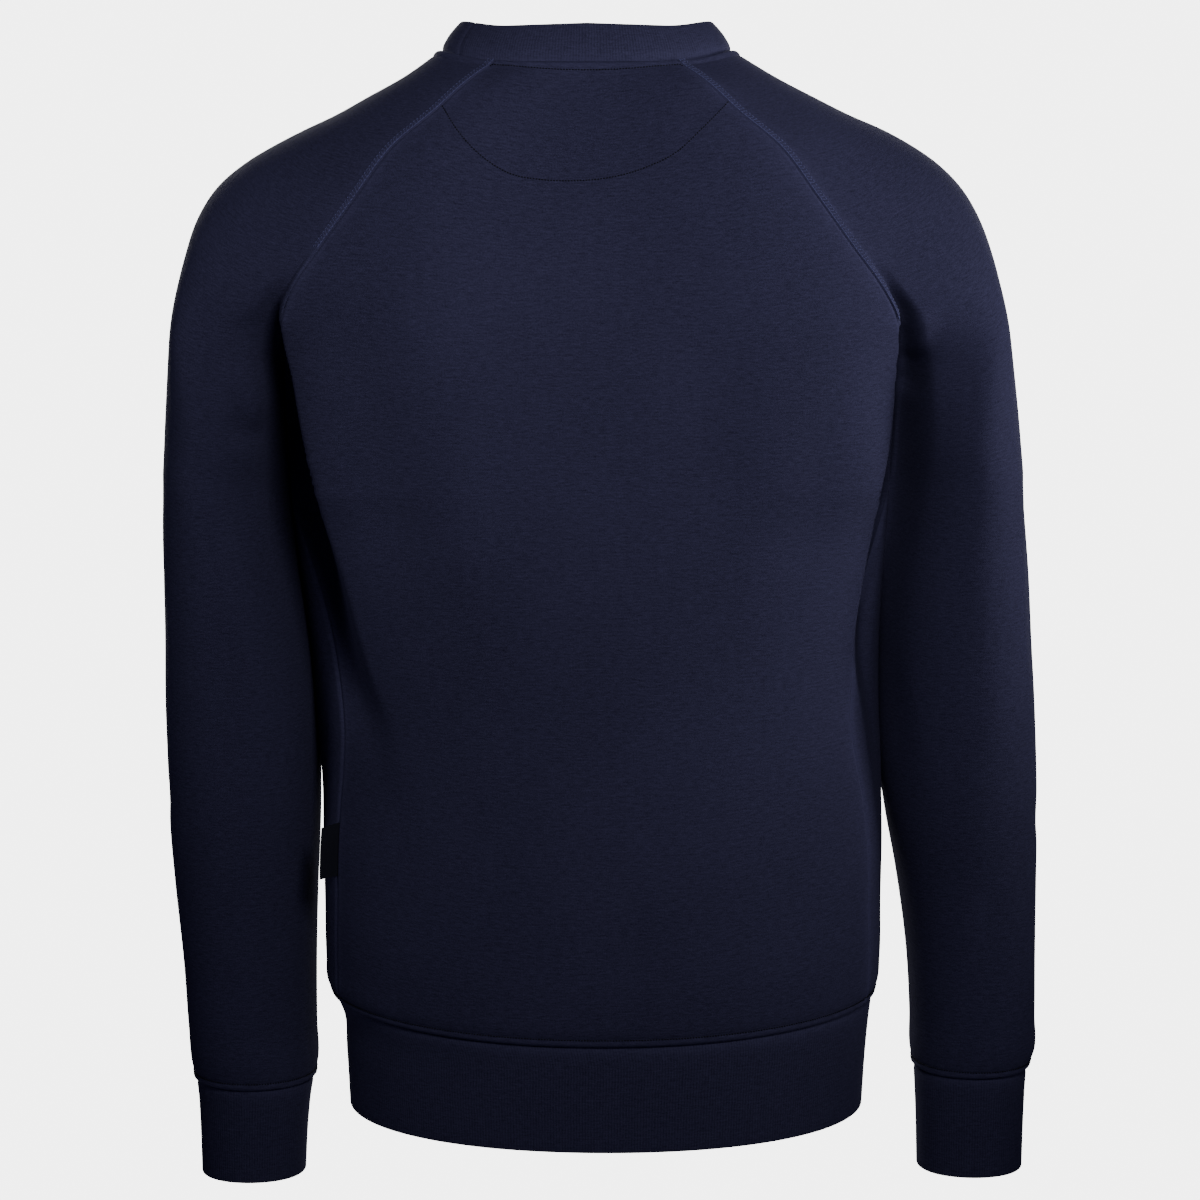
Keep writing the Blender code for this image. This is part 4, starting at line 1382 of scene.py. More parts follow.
@dataclass(frozen=True)
class KnitFinish:
    """Cotton knit, as jersey or as rib, in the flat cloth's own directions.

    Attributes:
        name: The cloth's common name.
        deep: sRGB colour between its loops, partly the yarn's darker tone and partly painted shade
            in the knit's hollows.
        high: sRGB colour on top of its loops, partly the yarn's paler tone and partly painted light
            on the knit's tops.
        wale: Width of a column of loops. Real jersey of this weight has about 0.9 mm,
            which no pixel shows, so it is drawn a little coarser.
        course: Height of a row of loops, drawn coarser in the same way.
        rib: Width of a rib, or 0 for plain jersey.
        relief: Depth of the surface.
        nap: Strength of the brushed fibres' sheen.
        rubbed: How much paler the cloth is painted at a pressed seam, partly for rubbing and partly
            as painted highlight on the welt.
    """

    name: str
    deep: str
    high: str
    wale: float = 0.00125
    course: float = 0.00100
    rib: float = 0.0
    relief: float = 0.00022
    nap: float = 0.04
    rubbed: float = 0.42

    def material(self) -> Material:
        """Builds the material: slubby yarn, loops, and a soft nap that takes the light.

        Returns:
            The material.
        """
        made, tree, shader = cleared(self.name)
        place = add(tree, "ShaderNodeUVMap", uv_map="cloth").outputs[0]
        # the loops wander by half a millimetre over 6 mm, as in cloth that has been brushed
        drift = add(tree, "ShaderNodeTexNoise", {"Vector": place, "Scale": 160.0, "Detail": 1.0})
        links = {0: drift.outputs["Color"], 1: (0.0011, 0.0011, 0.0)}
        shaken = add(tree, "ShaderNodeVectorMath", links, operation="MULTIPLY")
        moved = add(tree, "ShaderNodeVectorMath", {0: place, 1: shaken.outputs[0]})
        parts = add(tree, "ShaderNodeSeparateXYZ", {0: moved.outputs[0]})
        across, along = parts.outputs[0], parts.outputs[1]
        loops = self.loops(tree, across, along)
        # slubs of 5 by 1.2 mm in the yarn, streaks of 17 by 2 mm, and fibres' grain of 1 mm,
        # which is drawn coarser than the real fibres so that it shows
        noises = []
        for scale, detail in (((190, 850), 2.0), ((60, 480), 1.0), ((1050, 1050), 1.0)):
            links = {"Vector": place, "Scale": (*scale, 1.0)}
            laid = add(tree, "ShaderNodeMapping", links).outputs[0]
            links = {"Vector": laid, "Scale": 1.0, "Detail": detail, "Roughness": 0.6}
            noises.append(add(tree, "ShaderNodeTexNoise", links).outputs[0])
        slub, streak, grain = noises
        # a broad unevenness of about 11 cm
        links = {"Vector": add(tree, "ShaderNodeTexCoord").outputs["Object"], "Scale": 9.0}
        cloud = add(tree, "ShaderNodeTexNoise", links | {"Detail": 2.0}).outputs[0]
        wear = add(tree, "ShaderNodeAttribute", attribute_name="wear").outputs["Fac"]
        # every layer but the seams' paler band darkens as much as it lightens; that band is partly
        # rubbing and partly painted highlight on the welts
        layers = ((slub, 0.90), (streak, 0.26), (grain, 0.95), (loops, 0.22), (cloud, 0.34))
        middle = 0.5 - sum(weight for _, weight in layers) / 2
        share = layered(tree, middle, *layers, (wear, self.rubbed))
        # the loops, slubs and grain that raise this relief also mix the colour above, so besides
        # the yarn's random tone the hollows carry painted shade and the tops painted light
        height = layered(tree, 0.0, (slub, 0.55), (loops, 0.50), (grain, 0.45))
        low, high = colour(self.deep), colour(self.high)
        colour_and_bump(tree, shader, share, low, high, height, self.relief)
        shader.inputs["Roughness"].default_value = 0.93
        shader.inputs["Specular IOR Level"].default_value = 0.07
        shader.inputs["Sheen Weight"].default_value = self.nap
        shader.inputs["Sheen Roughness"].default_value = 0.42
        shader.inputs["Sheen Tint"].default_value = colour("#8E8CC0")
        return made

    def loops(self, tree: Tree, across: Socket, along: Socket) -> Socket:
        """Height of the knitted loops: slanting legs in columns, or the rounds of a rib.

        Args:
            tree: The material's tree.
            across: Place across the wales.
            along: Place along them.

        Returns:
            The height, from 0 to about 1.
        """
        column = layered(tree, 0.0, (across, 1 / self.wale))
        leg = add(tree, "ShaderNodeMath", {0: column, 1: 0.5}, operation="PINGPONG").outputs[0]
        loop = layered(tree, 0.5, (wave(tree, (along, 1 / self.course), (leg, 1.2)), 0.5))
        knit = layered(tree, 0.0, (wave(tree, (leg, 1.0)), 0.55), (loop, 0.45))
        if not self.rib:
            return knit
        ridge = layered(tree, 0.5, (wave(tree, (across, 1 / self.rib)), 0.5))
        return layered(tree, 0.0, (knit, 0.35), (ridge, 1.1))


@dataclass(frozen=True)
class ThreadFinish:
    """Polyester sewing thread: two twisted plies with a slight gloss."""

    name: str
    tone: str
    dip: float = 0.6
    relief: float = 0.00008

    def material(self) -> Material:
        """Builds the material: plies painted a little darker where they dip, as painted shade.

        Returns:
            The material.
        """
        made, tree, shader = cleared(self.name)
        place = add(tree, "ShaderNodeTexCoord").outputs["Object"]
        # the plies' twist of about 1 mm
        links = {"Vector": place, "Scale": 900.0, "Detail": 1.0}
        noise = add(tree, "ShaderNodeTexNoise", links).outputs[0]
        high = colour(self.tone)
        low = tuple(part * self.dip for part in high[:3]) + (1.0,)
        colour_and_bump(tree, shader, noise, low, high, noise, self.relief)
        shader.inputs["Roughness"].default_value = 0.7
        shader.inputs["Specular IOR Level"].default_value = 0.15
        return made


@dataclass(frozen=True)
class LabelFinish:
    """Woven polyester label, with its weft in fine level lines.

    The real weft has about 0.2 mm, which no pixel shows, so it is drawn coarser.
    """

    name: str
    low: str
    high: str
    weft: float = 0.0007
    relief: float = 0.00010

    def material(self) -> Material:
        """Builds the material: level lines of weft, broken up a little.

        Returns:
            The material.
        """
        made, tree, shader = cleared(self.name)
        place = add(tree, "ShaderNodeTexCoord").outputs["Object"]
        parts = add(tree, "ShaderNodeSeparateXYZ", {0: place})
        lines = layered(tree, 0.5, (wave(tree, (parts.outputs[2], 1 / self.weft)), 0.5))
        # flecks of about 1.5 mm where the yarn takes the light
        links = {"Vector": place, "Scale": 700.0, "Detail": 2.0}
        noise = add(tree, "ShaderNodeTexNoise", links).outputs[0]
        share = layered(tree, 0.0, (noise, 0.6), (lines, 0.4))
        low, high = colour(self.low), colour(self.high)
        colour_and_bump(tree, shader, share, low, high, share, self.relief)
        shader.inputs["Roughness"].default_value = 0.8
        shader.inputs["Specular IOR Level"].default_value = 0.12
        return made


# ---------------------------------------------------------------------------
# Stitches
# ---------------------------------------------------------------------------

# A stitch's thread is a tube of this many rings and sides.
THREAD_RINGS = 7
THREAD_SIDES = 6
# Its ends keep this share of its section, and sink by this share of its radius.
THREAD_TIP = 0.12
THREAD_SINK = 0.4
# Stitches are up to this much shorter or longer than their kind says.
UNEVENNESS = 0.08


@dataclass(frozen=True)
class StitchKind:
    """One stitch of a seam, as a short bit of thread that dives into the cloth.

    Attributes:
        name: What the seam is called.
        length: Length of the thread that shows.
        pitch: Distance from one stitch to the next.
        radius: The thread's radius.
        arch: How far its middle stands up.
        turn: Angle from the seam's direction, in degrees.
    """

    name: str
    length: float
    pitch: float
    radius: float
    arch: float = 0.00035
    turn: float = 0.0

    def bit(self) -> bpy.types.Object:
        """Makes one stitch along X, turned as the kind says, its middle at the origin.

        Returns:
            The stitch, as a closed bit of thread with thinner, sunk ends.
        """
        turns = np.radians(np.arange(THREAD_SIDES) * 360 / THREAD_SIDES)
        rings = []
        for share in np.linspace(-1.0, 1.0, THREAD_RINGS):
            thin = self.radius * np.sqrt(max(THREAD_TIP, 1.0 - abs(share) ** 3))
            height = self.arch * (1 - share**2) - self.radius * THREAD_SINK * share**4
            level = np.full(THREAD_SIDES, share * self.length / 2)
            ring = [level, thin * np.cos(turns), thin * np.sin(turns) + height]
            rings.append(np.stack(ring, axis=1))
        cos, sin = np.cos(np.radians(self.turn)), np.sin(np.radians(self.turn))
        spin = np.array([[cos, sin, 0], [-sin, cos, 0], [0, 0, 1]])
        last = (THREAD_RINGS - 1) * THREAD_SIDES
        # two quads close each end of a tube of six sides
        ends = np.array([[3, 2, 1, 0], [5, 4, 3, 0], [0, 1, 2, 3], [0, 3, 4, 5]])
        ends[2:] += last
        faces = np.vstack([quads(closed_rows(THREAD_RINGS, THREAD_SIDES)), ends])
        name = f"bit_{self.name}"
        return new_object(name, mesh_of(name, np.vstack(rings) @ spin, faces))


class Stitcher:
    """Lays stitches along lines on the cloth by one Geometry Nodes tree."""

    def __init__(self) -> None:
        """Builds the tree, with named inputs for the stitch, its pitch, thread and seed."""
        tree = bpy.data.node_groups.new("stitches_along_lines", "GeometryNodeTree")
        face = tree.interface
        face.new_socket("Geometry", in_out="OUTPUT", socket_type="NodeSocketGeometry")
        kinds = {
            "Lines": "NodeSocketGeometry",
            "Stitch": "NodeSocketObject",
            "Pitch": "NodeSocketFloat",
            "Unevenness": "NodeSocketFloat",
            "Thread": "NodeSocketMaterial",
            "Seed": "NodeSocketInt",
        }
        sockets = {
            name: face.new_socket(name, in_out="INPUT", socket_type=kind)
            for name, kind in kinds.items()
        }
        self.tree = tree
        self.sockets = {name: socket.identifier for name, socket in sockets.items()}
        start = add(tree, "NodeGroupInput").outputs
        curve = add(tree, "GeometryNodeMeshToCurve", {"Mesh": start["Lines"]}).outputs[0]
        links = {"Curve": curve, "Length": start["Pitch"]}
        even = add(tree, "GeometryNodeResampleCurve", links, mode="LENGTH").outputs[0]
        out = add(
            tree, "GeometryNodeInputNamedAttribute", {"Name": "out"}, data_type="FLOAT_VECTOR"
        ).outputs[0]
        links = {"Vector": add(tree, "GeometryNodeInputTangent").outputs[0]}
        along = add(tree, "FunctionNodeAlignRotationToVector", links, axis="X").outputs[0]
        links = {"Rotation": along, "Vector": out}
        stand = add(
            tree, "FunctionNodeAlignRotationToVector", links, axis="Z", pivot_axis="X"
        ).outputs[0]
        bit = add(tree, "GeometryNodeObjectInfo", {"Object": start["Stitch"]}).outputs["Geometry"]
        less, more = (
            add(tree, "ShaderNodeMath", {0: 1.0, 1: start["Unevenness"]}, operation=way).outputs[0]
            for way in ("SUBTRACT", "ADD")
        )
        links = {2: less, 3: more, "Seed": start["Seed"]}
        size = add(tree, "FunctionNodeRandomValue", links, data_type="FLOAT").outputs[1]
        links = {"Points": even, "Instance": bit, "Rotation": stand, "Scale": size}
        laid = add(tree, "GeometryNodeInstanceOnPoints", links).outputs[0]
        real = add(tree, "GeometryNodeRealizeInstances", {0: laid}).outputs[0]
        links = {"Geometry": real, "Material": start["Thread"]}
        dressed = add(tree, "GeometryNodeSetMaterial", links).outputs[0]
        add(tree, "NodeGroupOutput", {0: dressed})

    def sew(
        self,
        name: str,
        kind: StitchKind,
        lines: Sequence[tuple[Array, Array]],
        thread: Material,
        seed: int = 1,
        lift: float = 0.0,
    ) -> bpy.types.Object:
        """Sews one kind of stitch along lines.

        Args:
            name: Name of the finished piece.
            kind: The stitch.
            lines: Points of each line and the outward direction at each point.
            thread: The thread's material.
            seed: Seed of the stitches' small unevenness.
            lift: How far the line is moved out of the cloth.

        Returns:
            The stitches as one plain mesh.
        """
        points = np.vstack([line + out * lift for line, out in lines])
        outs = np.vstack([out for _, out in lines])
        starts = np.cumsum([0] + [len(line) for line, _ in lines])
        edges = []
        for first, last in zip(starts[:-1], starts[1:]):
            edges += [(at, at + 1) for at in range(first, last - 1)]
        path = bpy.data.meshes.new(f"{name}_path")
        path.from_pydata(points.tolist(), edges, [])
        ways = path.attributes.new("out", "FLOAT_VECTOR", "POINT")
        ways.data.foreach_set("vector", outs.astype(np.float32).ravel())
        guide = new_object(f"{name}_path", path)
        bit = kind.bit()
        modifier = guide.modifiers.new("stitches", "NODES")
        modifier.node_group = self.tree
        values = {"Stitch": bit, "Pitch": kind.pitch, "Unevenness": UNEVENNESS}
        values |= {"Thread": thread, "Seed": seed}
        for socket, value in values.items():
            modifier[self.sockets[socket]] = value
        graph = bpy.context.evaluated_depsgraph_get()
        graph.update()
        mesh = bpy.data.meshes.new_from_object(guide.evaluated_get(graph), depsgraph=graph)
        mesh.name = name
        for spare in (guide, bit):
            bpy.data.objects.remove(spare)
        mesh.shade_smooth()
        made = new_object(name, mesh)
        log.info("%s: %d triangles", name, sum(len(face.vertices) - 2 for face in mesh.polygons))
        return made


# ---------------------------------------------------------------------------
# Folds and creases, by where they lie
# ---------------------------------------------------------------------------


def creased(face: Face, *rows: tuple, on: tuple[str, ...] = ()) -> tuple[Crease, ...]:
    """Creases that face one way.

    Args:
        face: What they are seen on.
        rows: For each its width, its height and the points of its line.
        on: The only pieces that they show on, or none named for all of them.

    Returns:
        The creases.
    """
    return tuple(Crease(face, width, height, tuple(line), on) for width, height, *line in rows)


def folded(face: Face, side: Side, *rows: tuple, **others: float) -> Tuck:
    """A deeper fold.

    Args:
        face: What it is seen on.
        side: The side of the garment.
        rows: z, edge, lift, depth, drop and rise, from the bottom up.
        others: The fold's other sizes.

    Returns:
        The fold.
    """
    return Tuck(face, side, Table("z edge lift depth drop rise", rows), **others)


TUCKS = (
    # the back panel's edges beside the armpits, below the ends of the raglan stitches
    folded(
        Face.BACK,
        Side.LEFT,
        (-0.470, 0.1120, 0.000, 0.000, 0.0180, 0.045),
        (-0.425, 0.1190, 0.002, 0.004, 0.0200, 0.045),
        (-0.374, 0.1377, 0.007, 0.022, 0.0140, 0.042),
        (-0.323, 0.1515, 0.010, 0.034, 0.0090, 0.038),
        (-0.272, 0.1672, 0.012, 0.038, 0.0050, 0.034),
        (-0.221, 0.1785, 0.014, 0.034, 0.0035, 0.028),
        (-0.196, 0.1823, 0.015, 0.028, 0.0030, 0.024),
        (-0.171, 0.1873, 0.014, 0.018, 0.0030, 0.020),
        (-0.154, 0.1885, 0.011, 0.010, 0.0030, 0.018),
        (-0.134, 0.1805, 0.006, 0.003, 0.0030, 0.016),
        (-0.110, 0.1630, 0.000, 0.000, 0.0030, 0.014),
    ),
    folded(
        Face.BACK,
        Side.RIGHT,
        (-0.500, 0.1830, 0.000, 0.000, 0.0100, 0.030),
        (-0.476, 0.1820, 0.001, 0.006, 0.0090, 0.030),
        (-0.425, 0.1763, 0.003, 0.022, 0.0070, 0.030),
        (-0.374, 0.1681, 0.006, 0.034, 0.0060, 0.032),
        (-0.323, 0.1738, 0.009, 0.040, 0.0040, 0.032),
        (-0.272, 0.1832, 0.010, 0.040, 0.0030, 0.030),
        (-0.221, 0.1908, 0.010, 0.036, 0.0030, 0.026),
        (-0.190, 0.1925, 0.009, 0.027, 0.0030, 0.020),
        (-0.171, 0.1925, 0.008, 0.020, 0.0030, 0.016),
        (-0.154, 0.1920, 0.006, 0.013, 0.0025, 0.012),
        (-0.140, 0.1850, 0.003, 0.005, 0.0025, 0.010),
        (-0.118, 0.1700, 0.000, 0.000, 0.0025, 0.010),
        crest=0.022,
    ),
    # the same on the front, shallower
    folded(
        Face.FRONT,
        Side.LEFT,
        (-0.375, 0.1400, 0.000, 0.000, 0.0120, 0.030),
        (-0.325, 0.1530, 0.003, 0.010, 0.0100, 0.030),
        (-0.280, 0.1650, 0.004, 0.016, 0.0080, 0.028),
        (-0.240, 0.1730, 0.005, 0.016, 0.0060, 0.024),
        (-0.205, 0.1760, 0.003, 0.009, 0.0050, 0.022),
        (-0.170, 0.1735, 0.000, 0.000, 0.0050, 0.020),
    ),
    folded(
        Face.FRONT,
        Side.RIGHT,
        (-0.390, 0.1520, 0.000, 0.000, 0.0120, 0.030),
        (-0.335, 0.1600, 0.003, 0.012, 0.0100, 0.030),
        (-0.285, 0.1700, 0.005, 0.017, 0.0080, 0.028),
        (-0.245, 0.1770, 0.005, 0.015, 0.0060, 0.024),
        (-0.205, 0.1790, 0.003, 0.008, 0.0050, 0.022),
        (-0.175, 0.1750, 0.000, 0.000, 0.0050, 0.020),
    ),
)
CREASES = (
    # creases that run up and outwards from the armpits
    *creased(
        Face.BACK,
        (0.008, -0.0042, (-0.1960, -0.212), (-0.2050, -0.195), (-0.2150, -0.174)),
        (0.009, 0.0034, (-0.1980, -0.190), (-0.2040, -0.170), (-0.2110, -0.148)),
        (0.006, -0.0028, (-0.1960, -0.160), (-0.1990, -0.175), (-0.1975, -0.195)),
        (0.009, -0.0038, (0.1960, -0.200), (0.2060, -0.180), (0.2140, -0.150)),
        (0.009, 0.0034, (0.2000, -0.225), (0.2130, -0.206), (0.2240, -0.182)),
        (0.007, -0.0024, (0.1990, -0.236), (0.2150, -0.232), (0.2280, -0.222)),
    ),
    # soft waves down the back
    *creased(
        Face.BACK,
        (
            0.024,
            -0.0056,
            (0.1400, -0.110),
            (0.1400, -0.165),
            (0.1370, -0.215),
            (0.1260, -0.270),
            (0.1150, -0.340),
        ),
        (0.022, 0.0016, (0.0800, -0.190), (0.0850, -0.260), (0.0700, -0.350)),
        (0.024, -0.0020, (-0.0700, -0.140), (-0.0760, -0.210), (-0.0900, -0.300)),
        (0.020, -0.0022, (-0.1480, -0.210), (-0.1420, -0.270), (-0.1300, -0.330)),
        (0.026, -0.0018, (0.1350, -0.440), (0.1250, -0.500), (0.1310, -0.560)),
        (0.024, 0.0014, (0.0300, -0.400), (0.0250, -0.480), (0.0400, -0.570)),
        (0.026, -0.0016, (-0.1250, -0.430), (-0.1300, -0.500), (-0.1200, -0.580)),
    ),
    # the same on the front
    *creased(
        Face.FRONT,
        (0.012, -0.0036, (0.1980, -0.222), (0.2130, -0.200), (0.2290, -0.172)),
        (0.012, -0.0036, (-0.2010, -0.222), (-0.2170, -0.198), (-0.2330, -0.170)),
        (0.010, 0.0026, (0.2010, -0.250), (0.2160, -0.236), (0.2310, -0.212)),
        (0.010, 0.0024, (-0.2020, -0.246), (-0.2180, -0.230), (-0.2340, -0.204)),
        (0.022, -0.0022, (0.1020, -0.200), (0.1080, -0.270), (0.0940, -0.340)),
        (0.024, 0.0016, (-0.0450, -0.180), (-0.0520, -0.260), (-0.0400, -0.350)),
        (0.022, -0.0020, (-0.1130, -0.210), (-0.1160, -0.290), (-0.1020, -0.360)),
        (0.026, -0.0018, (0.0850, -0.420), (0.0930, -0.500), (0.0850, -0.575)),
        (0.026, -0.0016, (-0.1150, -0.440), (-0.1100, -0.520), (-0.1210, -0.590)),
    ),
    # bends inside the elbows
    *creased(
        Face.FRONT,
        (0.012, -0.0034, (0.1900, -0.432), (0.2150, -0.422), (0.2430, -0.406)),
        (0.012, -0.0034, (-0.2050, -0.436), (-0.2320, -0.424), (-0.2620, -0.412)),
        (0.011, 0.0020, (0.1950, -0.462), (0.2200, -0.450), (0.2480, -0.440)),
        (0.011, 0.0018, (-0.2080, -0.468), (-0.2350, -0.456), (-0.2680, -0.442)),
    ),
    # soft waves down the sleeves
    *creased(
        Face.BACK,
        (0.013, -0.0018, (0.2400, -0.330), (0.2260, -0.420), (0.2300, -0.520)),
        (0.014, -0.0016, (-0.2350, -0.300), (-0.2440, -0.390), (-0.2400, -0.480)),
        (0.012, 0.0014, (0.2080, -0.520), (0.2200, -0.580), (0.2140, -0.640)),
        (0.012, -0.0016, (-0.2560, -0.500), (-0.2620, -0.570), (-0.2540, -0.640)),
    ),
    *creased(
        Face.LEFT,
        (0.014, -0.0016, (0.0150, -0.230), (0.0080, -0.320), (0.0120, -0.400)),
        (0.012, -0.0018, (-0.0450, -0.430), (-0.0250, -0.470), (-0.0050, -0.490)),
        on=("sleeve_left",),
    ),
    *creased(
        Face.RIGHT,
        (0.014, -0.0016, (0.0100, -0.250), (0.0160, -0.330), (0.0060, -0.420)),
        (0.012, -0.0018, (-0.0500, -0.440), (-0.0300, -0.480), (-0.0050, -0.505)),
        on=("sleeve_right",),
    ),
)


# ---------------------------------------------------------------------------
# Sub-assemblies
# ---------------------------------------------------------------------------


@dataclass
class Wardrobe:
    """The finishes that the pieces share, made once."""

    jersey: Material
    rib: Material
    pale_thread: Material
    deep_thread: Material
    label: Material

    @classmethod
    def stocked(cls) -> "Wardrobe":
        """Builds every finish.

        Returns:
            The finishes.
        """
        # a soft matt navy with an uneven grain, painted paler by the seams, partly for rubbing and
        # partly as painted highlight on the welts
        jersey = KnitFinish("brushed_back_cotton_jersey", "#181727", "#35344E")
        # the same navy in fine upright ribs, with a shallower surface
        rib = KnitFinish("cotton_rib_knit", "#181727", "#34334C", rib=0.0019, relief=0.00016)
        # a grey-blue cover stitch that stands out from the navy
        pale = ThreadFinish("polyester_thread_grey_blue", "#4E5078")
        # a topstitch thread painted near black, darker than the cloth, as the painted shade of the
        # small dents that its stitches press in
        deep = ThreadFinish("polyester_thread_navy", "#05060C")
        # a smooth tape, nearly black, in fine level lines
        label = LabelFinish("woven_polyester_label", "#07080F", "#12131F")
        return cls(*(finish.material() for finish in (jersey, rib, pale, deep, label)))


@dataclass(frozen=True)
class Cut:
    """The flat cut of a piece that shows: its width and length, and its area."""

    width: float
    length: float
    area: float


@dataclass
class SewnPanels:
    """Back, front and sleeves of jersey, with the bands of rib that finish them."""

    form: SweatshirtForm
    finishes: Wardrobe
    cuts: dict[str, Cut] = field(
        default_factory=lambda: {
            "back": Cut(0.50, 0.63, 0.260),
            "front": Cut(0.50, 0.56, 0.250),
            "sleeve_left": Cut(0.42, 0.76, 0.220),
            "sleeve_right": Cut(0.42, 0.76, 0.220),
            "cuff_left": Cut(0.24, 0.065, 0.0150),
            "cuff_right": Cut(0.24, 0.068, 0.0160),
            "hem_band": Cut(0.94, 0.070, 0.064),
            "neckband": Cut(0.53, 0.026, 0.0125),
        }
    )

    def build(self) -> dict[str, Piece]:
        """Builds and dresses all the pieces.

        Returns:
            The pieces by name, for what is sewn on them.
        """
        pieces = self.form.pieces()
        for name, piece in pieces.items():
            ribbed = name.startswith(("neckband", "hem_band", "cuff"))
            made = shell(piece)
            made.data.materials.append(self.finishes.rib if ribbed else self.finishes.jersey)
            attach(made, "root")
            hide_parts(name)
            log.info("%s: %d quads", made.name, len(made.data.polygons))
        return pieces


@dataclass
class SeamStitching:
    """Cover stitch on the raglan seams, and rows of topstitch on the back and at the bands.

    Attributes:
        needle: The topstitch.
        chain: The cover stitch's row next to the seam.
        dash: The cover stitch's row further on the sleeve.
        rung: The thread that slants between those two.
        raglan_rows: How far those three lie from the seam.
        row_from_band: How far the topstitch lies above a band's seam.
        raglan_end_z: Level where the raglan rows go into the armpit folds.
        raglan_top_rows: Rows of the sleeve that the neckband's seam hides them on.
        half_moon: Points of the half-moon on the view from behind, as x and z.
        half_moon_points: Points that its line is drawn with.
    """

    pieces: dict[str, Piece]
    finishes: Wardrobe
    needle: StitchKind = StitchKind("needle", 0.0013, 0.0018, 0.00038)
    chain: StitchKind = StitchKind("chain", 0.0028, 0.0029, 0.00025, arch=0.00025)
    dash: StitchKind = StitchKind("dash", 0.0016, 0.0026, 0.00022, arch=0.00025)
    rung: StitchKind = StitchKind("rung", 0.0028, 0.0021, 0.00014, arch=0.00015, turn=64.0)
    raglan_rows: tuple[float, float, float] = (0.0011, 0.0042, 0.0026)
    row_from_band: float = 0.0062
    raglan_end_z: float = -0.158
    raglan_top_rows: int = 3
    half_moon: tuple[tuple[float, float], ...] = (
        (0.0900, -0.0240),
        (0.0781, -0.0417),
        (0.0629, -0.0569),
        (0.0470, -0.0664),
        (0.0269, -0.0703),
        (0.0085, -0.0710),
        (-0.0135, -0.0691),
        (-0.0355, -0.0630),
        (-0.0541, -0.0539),
        (-0.0697, -0.0399),
        (-0.0883, -0.0221),
    )
    half_moon_points: int = 160

    def build(self) -> None:
        """Sews every row and rides it on the body."""
        stitcher = Stitcher()
        pale, deep = self.finishes.pale_thread, self.finishes.deep_thread
        near, far, between = self.raglan_rows
        rows = (
            ("raglan_rungs", self.rung, self.raglan_lines(between), pale, 3, -0.00005),
            ("raglan_near_row", self.chain, self.raglan_lines(near), pale, 5, 0.0),
            ("raglan_far_row", self.dash, self.raglan_lines(far), pale, 7, 0.0),
            # the topstitch rows take the near-black thread, whose colour is painted shade of their
            # dents
            ("band_topstitch", self.needle, self.band_lines(), deep, 11, 0.00005),
            ("half_moon_topstitch", self.needle, [self.half_moon_line()], deep, 13, 0.00005),
        )
        for name, kind, lines, thread, seed, lift in rows:
            piece = stitcher.sew(name, kind, lines, thread, seed, lift)
            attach(piece, "root")

    def raglan_lines(self, away: float) -> list[tuple[Array, Array]]:
        """Lines beside both raglan seams of both sleeves, down to the armpit folds.

        Args:
            away: How far from the seam they lie.

        Returns:
            For each line its points and the outward directions there.
        """
        lines = []
        for side in Side:
            sleeve = self.pieces[f"sleeve_{side.key}"]
            start = int(np.argmax(sleeve.base[:, 0, 2] > self.raglan_end_z))
            for border in (Border.FIRST, Border.LAST):
                shown = slice(start, -self.raglan_top_rows)
                lines.append(sleeve.line_beside(border, away, shown))
        return lines

    def band_lines(self) -> list[tuple[Array, Array]]:
        """Lines above the hem band and the cuffs, and below the neckband at the back.

        Returns:
            For each line its points and the outward directions there.
        """
        names = ("back", "front", "sleeve_left", "sleeve_right")
        borders = [(name, Border.BOTTOM) for name in names] + [("back", Border.TOP)]
        away = self.row_from_band
        return [self.pieces[name].line_beside(border, away) for name, border in borders]

    def half_moon_line(self) -> tuple[Array, Array]:
        """Line of the half-moon on the back's neck.

        Returns:
            Its points on the back panel, and the outward direction at each.
        """
        knots = np.array(self.half_moon)
        along = lengths_along(knots)
        at = np.linspace(0.0, along[-1], self.half_moon_points)
        flat = np.stack([smooth(along, knots[:, axis], at) for axis in (0, 1)], axis=1)
        return self.pieces["back"].seen_from_behind(flat)


